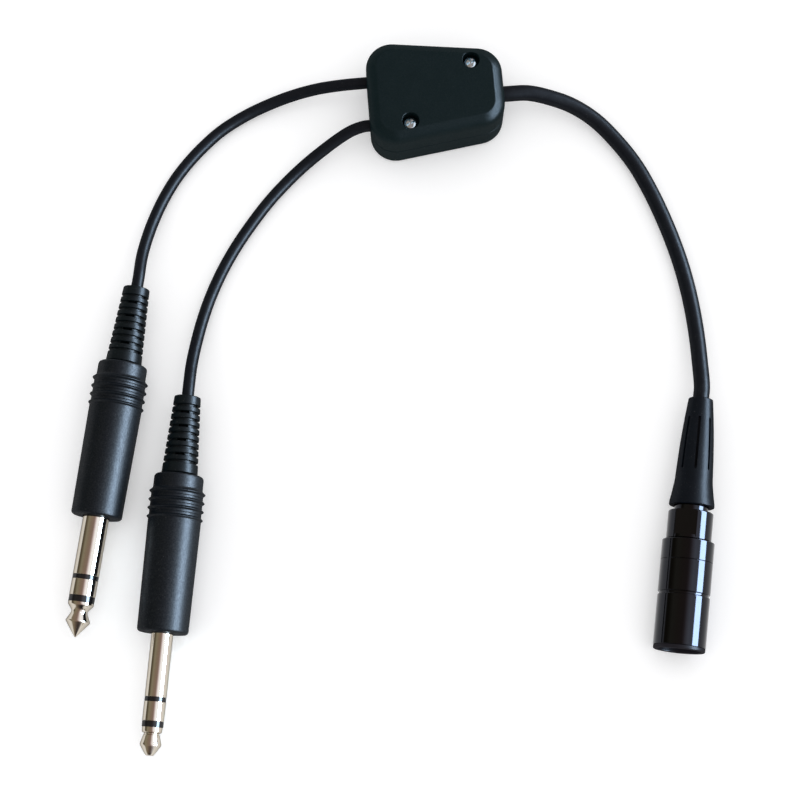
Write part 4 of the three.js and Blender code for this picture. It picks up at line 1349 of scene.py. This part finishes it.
@dataclass
class InlineSocket:
    """The six-way socket on the single cord, with its nut and bend relief."""

    lay: Lay = Lay((57.9, -139.7), 6.73, 6.35)
    radius: float = 6.35
    shell_length: float = 21.6
    lip: float = 0.95
    liner_outside: float = 5.8
    liner_inside: float = 5.3
    liner_depth: float = 11.0
    liner_back: float = 12.4
    groove_at: float = 13.1
    groove_width: float = 0.8
    groove_depth: float = 0.3
    back_bore: float = 4.9
    ring_length: float = 4.9
    ring_bore: float = 4.55
    face: float = 6.5
    insert_radius: float = 3.0
    insert_flange: float = 4.3
    insert_flange_length: float = 1.6
    insert_length: float = 10.4
    key_width: float = 1.8
    key_height: float = 1.7
    pins: int = 6
    pin_circle: float = 1.95
    pin_radius: float = 0.5
    pin_bore: float = 0.32
    pin_length: float = 11.6
    pin_phase: float = 15.0
    pin_sink: float = 0.86
    nut_radius: float = 5.5
    nut_length: float = 7.0
    nut_flats: float = 9.8
    nut_collar: float = 0.8
    nut_bore: float = 3.15
    flat_turn: float = -19.0
    spigot: float = 4.2
    spigot_gap: float = 0.15
    thread_pitch: float = 0.5
    thread_depth: float = 0.25
    neck_radius: float = 4.1
    neck_length: float = 6.0
    neck_wall: float = 0.45
    boot_length: float = 27.0
    skirt: tuple[Point, ...] = ((5.55, 0.0, 0.3), (5.44, 1.3, 0.6), (5.16, 2.6, 0.8), (4.62, 6.2, 0.8))
    waist: float = 4.6
    swell: float = 0.25
    boot_top: float = 3.0
    neck_shown: float = 1.4
    slots: int = 8
    slot_width: float = 0.6
    slot_phase: float = -5.5
    slot_from: float = 8.8
    slot_to: float = 22.0
    slot_floor: float = 0.5
    slot_reach: float = 8.0
    slot_steps: int = 10
    cord_radius: float = 2.0
    liner_ease: Pair = (0.1, 0.3)
    lip_ease: tuple[float, float, float] = (0.38, 0.42, 0.1)
    shell_ease: Pair = (0.12, 0.14)
    groove_ease: Pair = (0.1, 0.08)
    groove_slope: float = 0.15
    ring_ease: Pair = (0.14, 0.2)
    insert_ease: float = 0.15
    pin_mouth: Pair = (0.08, 0.1)
    pin_ease: float = 0.06
    thread_start: float = 0.8
    thread_stop: float = 1.4
    thread_crest: float = 0.4
    spigot_ease: float = 0.1
    nut_ease: Pair = (0.15, 0.4)
    neck_ease: Pair = (0.1, 0.2)
    neck_gap: float = 0.25
    boot_shares: tuple[float, ...] = (0.25, 0.5, 0.75)
    boot_ease: float = 1.5
    skirt_ease: float = 0.1
    mouth_ease: Pair = (0.35, 0.15)

    def ring_from(self) -> float:
        """Place of the front of the rear ring."""
        return self.shell_length + BAND_GAP

    def nut_from(self) -> float:
        """Place of the nut's front face."""
        return self.ring_from() + self.ring_length + SEAT

    def nut_to(self) -> float:
        """Place of the nut's back face."""
        return self.nut_from() + self.nut_length

    def boot_from(self) -> float:
        """Place of the bend relief's skirt."""
        return self.nut_to() + self.neck_shown

    def mouth(self) -> float:
        """Place where the cord enters the bend relief."""
        return self.boot_from() + self.boot_length

    def cord_stop(self) -> float:
        """Place of the cord's end inside the socket."""
        return self.face + FIT + self.pin_length + SEAT

    def pin_frames(self) -> list[Matrix]:
        """The frames of the contacts.

        Returns:
            The frames, in order round the insert.
        """
        turns = [math.radians(self.pin_phase + 360 * i / self.pins) for i in range(self.pins)]
        places = [(self.pin_circle * math.cos(a), 0, self.pin_circle * math.sin(a)) for a in turns]
        return [self.lay.matrix() @ Matrix.Translation(place) for place in places]

    def liner(self) -> list[Point]:
        """The dark inner cup with its rim.

        Returns:
            Its profile.
        """
        bore, rim = self.insert_radius + FIT, self.radius - FIT
        (hole, floor), (mouth, edge, back) = self.liner_ease, self.lip_ease
        return [
            (bore, self.liner_depth, hole), (self.liner_inside, self.liner_depth, floor),
            (self.liner_inside, 0.0, mouth), (rim, 0.0, edge), (rim, self.lip, back),
            (self.liner_outside, self.lip), (self.liner_outside, self.liner_back), (bore, self.liner_back),
        ]

    def shell(self) -> list[Point]:
        """The polished shell.

        Returns:
            Its profile.
        """
        low, groove, length = self.lip + BAND_GAP, self.groove_at, self.shell_length
        groove_to, floor = groove + self.groove_width, self.radius - self.groove_depth
        inside, back, slope = self.liner_outside + FIT, self.liner_back + SEAT, self.groove_slope
        (front, rear), (edge, foot) = self.shell_ease, self.groove_ease
        return [
            (inside, low), (self.radius, low, front), (self.radius, groove, edge),
            (floor, groove + slope, foot), (floor, groove_to - slope, foot),
            (self.radius, groove_to, edge), (self.radius, length, rear),
            (self.back_bore, length), (self.back_bore, back), (inside, back),
        ]

    def ring(self) -> list[Point]:
        """The shell's rear ring.

        Returns:
            Its profile.
        """
        low, bore, (front, rear) = self.ring_from(), self.ring_bore, self.ring_ease
        high = low + self.ring_length
        return [(bore, low), (self.radius, low, front), (self.radius, high, rear), (bore, high)]

    def insert(self) -> Mesh:
        """The light insert with its six countersunk holes and its key.

        Returns:
            The mesh.
        """
        matrix, radius, wide = self.lay.matrix(), self.insert_radius, self.pin_radius + FIT
        flange, back = self.liner_back + SEAT, self.face + self.insert_length
        flange_to = flange + self.insert_flange_length
        corners: list[Point] = [
            (0, self.face), (radius, self.face, self.insert_ease), (radius, flange),
            (self.insert_flange, flange), (self.insert_flange, flange_to), (radius, flange_to),
            (radius, back), (0, back),
        ]
        key_to = self.liner_depth - SEAT
        length = key_to - self.face - FIT
        tall = radius + self.key_height - self.pin_circle
        middle = -(radius + self.key_height + self.pin_circle) / 2
        key = block((self.key_width, length, tall), (0, key_to - length / 2, middle), matrix)
        mesh = combined(turned(corners, matrix, CUT_SIDES), Combine.JOIN, [key])
        sink, sink_from = self.pin_sink, self.face - FIT
        hole = [
            (0, 0), (sink, 0), (sink, sink_from), (wide, sink_from + sink - wide),
            (wide, back + OVERRUN), (0, back + OVERRUN),
        ]
        tools = [turned(hole, place, HOLE_SIDES) for place in self.pin_frames()]
        return combined(mesh, Combine.CUT, tools)

    def pin(self) -> list[Point]:
        """A female contact.

        Returns:
            Its profile.
        """
        low, bore, radius, ease = self.face + FIT, self.pin_bore, self.pin_radius, self.pin_ease
        half, high = low + self.pin_length / 2, low + self.pin_length
        opened, sunk = self.pin_mouth
        return [
            (0, half), (bore, half), (bore, low + sunk), (bore + opened, low),
            (radius, low, ease), (radius, high, ease), (0, high),
        ]

    def nut(self) -> Mesh:
        """The collet nut with its spigot, flats and neck.

        Returns:
            The mesh.
        """
        low, high, bore, pitch = self.nut_from(), self.nut_to(), self.nut_bore, self.thread_pitch
        neck_to, crest = high + self.neck_length, self.ring_bore - self.spigot_gap
        root, neck_in = crest - self.thread_depth, neck_to - self.neck_wall
        (front, back), (foot, end) = self.nut_ease, self.neck_ease
        flank, neck_bore = self.thread_crest * pitch, self.cord_radius + self.neck_gap
        corners: list[Point] = [(bore, low - self.spigot), (crest, low - self.spigot, self.spigot_ease)]
        turn = low - self.spigot + self.thread_start * pitch
        while turn < low - self.thread_stop * pitch:
            corners += [(root, turn), (crest, turn + flank), (root, turn + 2 * flank)]
            turn += pitch
        corners += [
            (root, low), (self.nut_radius, low, front), (self.nut_radius, high, back),
            (self.neck_radius, high, foot), (self.neck_radius, neck_to, end),
            (neck_bore, neck_to), (neck_bore, neck_in), (bore, neck_in),
        ]
        matrix, radius = self.lay.matrix(), self.nut_radius
        lean = matrix @ Matrix.Rotation(math.radians(self.flat_turn), 4, "Y")
        length = self.nut_length - self.nut_collar + OVERRUN
        middle, reach = high + OVERRUN - length / 2, (self.nut_flats + radius) / 2
        flats = [block((2 * radius, length, radius), (0, middle, side * reach), lean) for side in (-1, 1)]
        return combined(turned(corners, matrix), Combine.CUT, flats)

    def slot(self, turn: float) -> Mesh:
        """A cutter for a lengthwise slot with round ends.

        Args:
            turn: Its turn round the relief, in radians.

        Returns:
            The cutting mesh.
        """
        half, steps, low = self.slot_width / 2, self.slot_steps, self.boot_from()
        plan = []
        for end, way in ((low + self.slot_from + half, -1), (low + self.slot_to - half, 1)):
            for step in range(steps + 1):
                angle = math.pi * step / steps
                plan.append((end + way * half * math.sin(angle), way * half * math.cos(angle)))
        depths = (self.cord_radius + RUN + self.slot_floor, self.slot_reach)
        spin = self.lay.matrix() @ Matrix.Rotation(turn, 4, "Y")
        return lofted([[(x, y, z) for y, z in plan] for x in depths], spin)

    def boot(self) -> Mesh:
        """The rubber bend relief with its skirt and lengthwise slots.

        Returns:
            The mesh.
        """
        low, mouth, top = self.boot_from(), self.mouth(), self.boot_top
        bore, skirt_bore = self.cord_radius + RUN, self.neck_radius + RUN
        back, waist_at = self.nut_to() + self.neck_length + SEAT, self.skirt[-1][1]
        outer, inner = self.mouth_ease
        corners: list[Point] = [(skirt_bore, low, self.skirt_ease)]
        corners += [(radius, low + along, rounding) for radius, along, rounding in self.skirt]
        for share in self.boot_shares:
            radius = self.waist + (top - self.waist) * share + self.swell * math.sin(math.pi * share)
            along = low + waist_at + (self.boot_length - waist_at) * share
            corners.append((radius, along, self.boot_ease))
        corners += [(top, mouth, outer), (bore, mouth, inner), (bore, back), (skirt_bore, back)]
        start = math.radians(self.slot_phase)
        slots = [self.slot(start + 2 * math.pi * i / self.slots) for i in range(self.slots)]
        return combined(turned(corners, self.lay.matrix()), Combine.CUT, slots)

    def build(self) -> list[Object]:
        """Builds and dresses the socket.

        Returns:
            Its pieces, which lie on the end of its cord.
        """
        matrix = self.lay.matrix()
        shaped = [
            ("liner_cup", turned(self.liner(), matrix), LINER, "lead", "socket_liner"),
            ("polished_shell", turned(self.shell(), matrix), BLACK_CHROME, "lead", "socket_shell"),
            ("polished_rear_ring", turned(self.ring(), matrix), BLACK_CHROME, "lead", "socket_rear_ring"),
            ("six_way_insert", self.insert(), INSERT, "lead", "socket_insulator"),
            ("clamp_nut", self.nut(), BLACK_CHROME, "collet_nut", "collet_nut"),
            ("slotted_boot", self.boot(), BOOT, "bend_relief", "bend_relief"),
        ]
        pieces = []
        for name, mesh, finish, body, node in shaped:
            pieces.append(add_piece(name, even_normals(finished(mesh)), finish, body, [node], matrix))
        for i, place in enumerate(self.pin_frames(), 1):
            mesh, nodes = finished(turned(self.pin(), place, PIN_SIDES)), [f"socket_contact_{i}"]
            pieces.append(add_piece(f"female_contact_{i}", mesh, GOLD, "lead", nodes, place))
        return pieces + [dress_node(node, BRASS) for node in ("insulator_retainer", "cable_collet")]


# ---- Cords ----

HEADPHONE_ROUTE = [
    (-23.8, 4.0, 6.9), (-30.0, 3.5, 5.6), (-36.2, 2.4, 4.0), (-42.4, 0.5, 2.6), (-48.6, -2.3, 1.8),
    (-54.7, -6.3, 1.6), (-59.0, -10.3, 1.6), (-62.8, -14.6, 1.6), (-66.2, -19.3, 1.6),
    (-69.0, -24.4, 1.7), (-71.1, -29.6, 2.3), (-72.7, -35.2, 3.6), (-73.8, -41.0, 5.2),
]
MICROPHONE_ROUTE = [
    (-21.4, -8.3, 6.8), (-25.0, -10.2, 5.5), (-29.0, -12.8, 4.0), (-33.3, -16.0, 2.6),
    (-37.7, -20.1, 1.8), (-42.2, -25.2, 1.6), (-46.5, -31.1, 1.6), (-50.4, -37.2, 1.6),
    (-53.7, -43.4, 1.6), (-56.4, -49.8, 1.7), (-58.4, -56.3, 2.4), (-59.8, -62.9, 3.7),
    (-60.7, -69.0, 5.3),
]
SOCKET_ROUTE = [
    (23.6, 1.9, 6.9), (29.2, 1.1, 5.8), (35.0, -0.6, 4.5), (41.0, -4.1, 3.2), (46.8, -9.9, 2.3),
    (51.3, -16.1, 2.1), (54.8, -22.8, 2.1), (57.6, -29.3, 2.1), (60.0, -35.8, 2.1),
    (62.0, -42.3, 2.1), (63.5, -48.8, 2.3), (64.5, -55.3, 3.0), (65.1, -61.8, 4.1),
    (65.4, -68.2, 5.3),
]


@dataclass
class Cord:
    """A free cord from the box to a plug or to the socket.

    Args:
        name: Name of its CAD node.
        box: The box that it comes out of.
        exit_: Its place in the box.
        route: Its middle points, as in the part's source.
        end: The plug or socket on its end.
        far_end: What that is called; not used.
        length: Its real length in metres, with its ends inside the box and the plug; not used.
        straight_out: How far it runs straight in front of the box.
        straight_in: How far it runs straight in front of the plug.
        step: Rough distance between the points of its curve.
    """

    name: str
    box: JunctionBox
    exit_: CordExit
    route: Sequence[Point]
    end: Union[Plug, InlineSocket]
    far_end: str
    length: float
    straight_out: float = 1.5
    straight_in: float = 3.0
    step: float = 1.0
    piece: Optional[Object] = field(default=None, init=False)
    run: float = field(default=0.0, init=False)

    def in_box(self, x: float) -> Vector:
        """A point of the cord as far as x from the middle of the box, in metres."""
        return self.box.matrix() @ Vector((self.exit_.side * x, self.exit_.across, self.box.seam))

    def build(self) -> None:
        """Makes the cord's piece, from its end in the box to its end in the plug or socket."""
        outside = self.box.length / 2
        starts = (self.box.cord_end(), outside - self.box.wall, outside + self.straight_out)
        inside = [self.in_box(x) for x in starts]
        mouth, stop = self.end.mouth(), self.end.cord_stop()
        places = (mouth + self.straight_in, mouth, (mouth + stop) / 2, stop)
        ends = [self.end.lay.matrix() @ Vector((0, along, 0)) for along in places]
        middle = [Vector(point) * MM for point in self.route]
        points = smooth_route([*inside, *middle, *ends], self.step)
        self.run = sum((b - a).length for a, b in zip(points, points[1:]))
        self.piece = tube_piece(f"{self.name}_jacket", points, self.exit_.radius, JACKET, self.name)

    def declare(self, with_pieces: Sequence[Object]) -> None:
        """Args:
            with_pieces: The pieces on its far end; not used.
        """
        tuple(self.in_box(self.box.length / 2))
        LOG.info("%s is %.1f mm along its centreline", self.name, self.run / MM)


# ---- Studio ----


@dataclass(frozen=True)
class Lamp:
    """A soft lamp that faces the object. Lengths are metres.

    Args:
        place: Its place.
        size: Its width and height.
        radiance: How bright its face is, where 1 is white.
        colour: Its colour.
    """

    place: Point
    size: Pair
    radiance: float
    colour: Colour

    def build(self, name: str, aim: Point) -> Object:
        """Puts the lamp into the scene.

        Args:
            name: Name of the lamp.
            aim: Point that it faces.

        Returns:
            The lamp's object.
        """
        light = bpy.data.lights.new(name, "AREA")
        light.shape = "RECTANGLE"
        light.size, light.size_y = self.size
        light.energy = self.radiance * math.pi * self.size[0] * self.size[1]
        light.color = self.colour
        lamp = placed(name, light)
        lamp.location = self.place
        lamp.rotation_euler = (Vector(aim) - Vector(self.place)).to_track_quat("-Z", "Y").to_euler()
        return lamp


@dataclass
class Studio:
    """Camera, soft lights, a pale floor and the room that metals mirror. Lengths are metres.

    Args:
        aim: Point that the camera and the lamps look at.
        distance: Of the camera from it.
        elevation: Of the camera over the table, in degrees.
        half_frame: Half the picture's width, as a share of the distance.
        clip: Nearest and furthest that the camera sees.
        softbox: Lamp that only mirrors show.
        overhead: Lamp that mirrors don't show.
        floor_tint: Colour of the floor.
        floor_size: Half its width.
        floor_drop: How far it lies under the lead.
        floor_roughness: Its roughness.
        floor_lift: How much the floor is brightened where it is seen.
        level: Plain light that falls on the object from all round.
        walls: Colour of the room by how far to the right it is, from -1 to 1.
        near_wall: Colour of the room behind the camera.
        near_side: How far to the back the room starts to change, and ends.
        sweep_top: Height, as a share of the way up, where the white backdrop starts to turn into
            the room, and where it ends.
    """

    aim: Point = (-0.009, -0.0767, 0.0)
    distance: float = 0.491
    elevation: float = 77.7
    half_frame: float = 400 / 1965
    clip: Pair = (0.01, 10.0)
    softbox: Lamp = Lamp((1.50, -0.10, 0.72), (2.6, 0.84), 44.0, (0.58, 0.77, 1.0))
    overhead: Lamp = Lamp((0.10, -0.10, 0.9), (0.9, 0.9), 0.65, WHITE)
    floor_tint: Colour = (0.86, 0.86, 0.86)
    floor_size: float = 3.0
    floor_drop: float = 0.0002
    floor_roughness: float = 0.9
    floor_lift: float = 0.25
    level: Colour = (0.85, 0.85, 0.86)
    walls: tuple[tuple[float, Colour], ...] = (
        (-1.0, (0.11, 0.09, 0.06)),
        (-0.9, (0.14, 0.12, 0.08)),
        (-0.75, (0.33, 0.30, 0.22)),
        (-0.4, (0.32, 0.25, 0.19)),
        (0.0, (0.33, 0.24, 0.21)),
        (0.13, (0.55, 0.44, 0.44)),
        (0.26, (1.0, 0.92, 1.0)),
        (0.45, (1.5, 1.55, 1.7)),
        (1.0, (1.3, 1.4, 1.6)),
    )
    near_wall: Colour = (0.02, 0.02, 0.02)
    near_side: Pair = (-0.97, -0.8)
    sweep_top: Pair = (0.07, 0.17)

    def camera(self) -> None:
        """Puts the camera where the photograph was taken from."""
        lens = bpy.data.cameras.new("camera")
        lens.angle = 2 * math.atan(self.half_frame)
        lens.clip_start, lens.clip_end = self.clip
        camera = placed("camera", lens)
        up = math.radians(self.elevation)
        back = Vector((0, -math.cos(up), math.sin(up)))
        camera.location = Vector(self.aim) + back * self.distance
        camera.rotation_euler = (-back).to_track_quat("-Z", "Y").to_euler()
        bpy.context.scene.camera = camera

    @staticmethod
    def seen(graph: Graph) -> Socket:
        """A mask of the rays that see the backdrop.

        Args:
            graph: The tree that the mask is added to.

        Returns:
            1 for camera, transmission and glossy rays.
        """
        path = graph.add("LightPath").outputs
        straight = graph.math("MAXIMUM", path["Is Camera Ray"], path["Is Transmission Ray"])
        return graph.math("MAXIMUM", straight, path["Is Glossy Ray"])

    def floor(self) -> None:
        """Lays the floor, which is seen white and keeps the object's shadow."""
        build = bmesh.new()
        bmesh.ops.create_grid(build, x_segments=2, y_segments=2, size=self.floor_size)
        mesh = bpy.data.meshes.new("floor")
        build.to_mesh(mesh)
        build.free()
        material = bpy.data.materials.new("floor_paper")
        material.use_nodes = True
        graph = Graph(material.node_tree)
        graph.feed(material.node_tree.nodes["Principled BSDF"], {
            "Base Color": self.floor_tint,
            "Roughness": self.floor_roughness,
            "Specular IOR Level": 0.0,
            "Emission Color": WHITE,
            "Emission Strength": graph.math("MULTIPLY", self.seen(graph), self.floor_lift),
        })
        mesh.materials.append(material)
        floor = placed("floor", mesh)
        floor.location = (0, 0, -self.floor_drop)

    def world(self) -> None:
        """A white sweep that rises behind the table, and the room over it, dim on the left."""
        world = bpy.data.worlds.new("studio")
        bpy.context.scene.world = world
        world.use_nodes = True
        graph = Graph(world.node_tree)
        place = graph.add("TexCoord").outputs["Generated"]
        right, back, up = graph.add("SeparateXYZ", Vector=place).outputs
        ramp = graph.add("ValToRGB", Fac=graph.math("ADD", graph.math("MULTIPLY", right, 0.5), 0.5))
        stops = ramp.color_ramp.elements
        for _ in self.walls[2:]:
            stops.new(0.5)
        for stop, (side, colour) in zip(stops, self.walls):
            stop.position, stop.color = (side + 1) / 2, (*colour, 1)

        def between(value: Socket, ends: Pair) -> Socket:
            """How far a value is from one end to another.

            Args:
                value: The value.
                ends: Where the share is 0, and where it is 1.

            Returns:
                The share.
            """
            node = graph.add("MapRange", Value=value)
            return graph.feed(node, {"From Min": ends[0], "From Max": ends[1]}).outputs[0]

        room = graph.mix(between(back, self.near_side), self.near_wall, ramp.outputs["Color"])
        backdrop = graph.mix(between(up, self.sweep_top), WHITE, room)
        shown = graph.mix(self.seen(graph), self.level, backdrop)
        graph.feed(world.node_tree.nodes["Background"], {"Color": shown, "Strength": 1.0})

    def build(self) -> None:
        """Sets up lamps, world and floor."""
        self.softbox.build("right_softbox", self.aim).visible_diffuse = False
        self.overhead.build("overhead", self.aim).visible_glossy = False
        self.floor()
        self.world()
        bpy.context.scene.view_settings.view_transform = "Standard"


def main() -> None:
    """Builds the lead, cords first, and writes how large it became."""
    logging.basicConfig(level=logging.INFO, format="%(name)s: %(message)s")
    studio = Studio()
    studio.camera()
    box = JunctionBox()
    headphone = Plug("headphone_plug", HEADPHONE_FINGER, Lay((-87.0, -136.5), 8.1, 6.85))
    microphone = Plug("microphone_plug", MICROPHONE_FINGER, Lay((-68.4, -164.5), 4.66, 6.85))
    cords = [
        Cord("headphone_cord", box, box.exits[0], HEADPHONE_ROUTE, headphone, "plug", 0.126),
        Cord("microphone_cord", box, box.exits[1], MICROPHONE_ROUTE, microphone, "plug", 0.126),
        Cord("socket_cord", box, box.exits[2], SOCKET_ROUTE, InlineSocket(), "connector", 0.157),
    ]
    for cord in cords:
        cord.build()
    box.build()
    for cord in cords:
        cord.declare(cord.end.build())
    studio.build()
    bpy.context.view_layer.update()


if __name__ == "__main__":
    main()
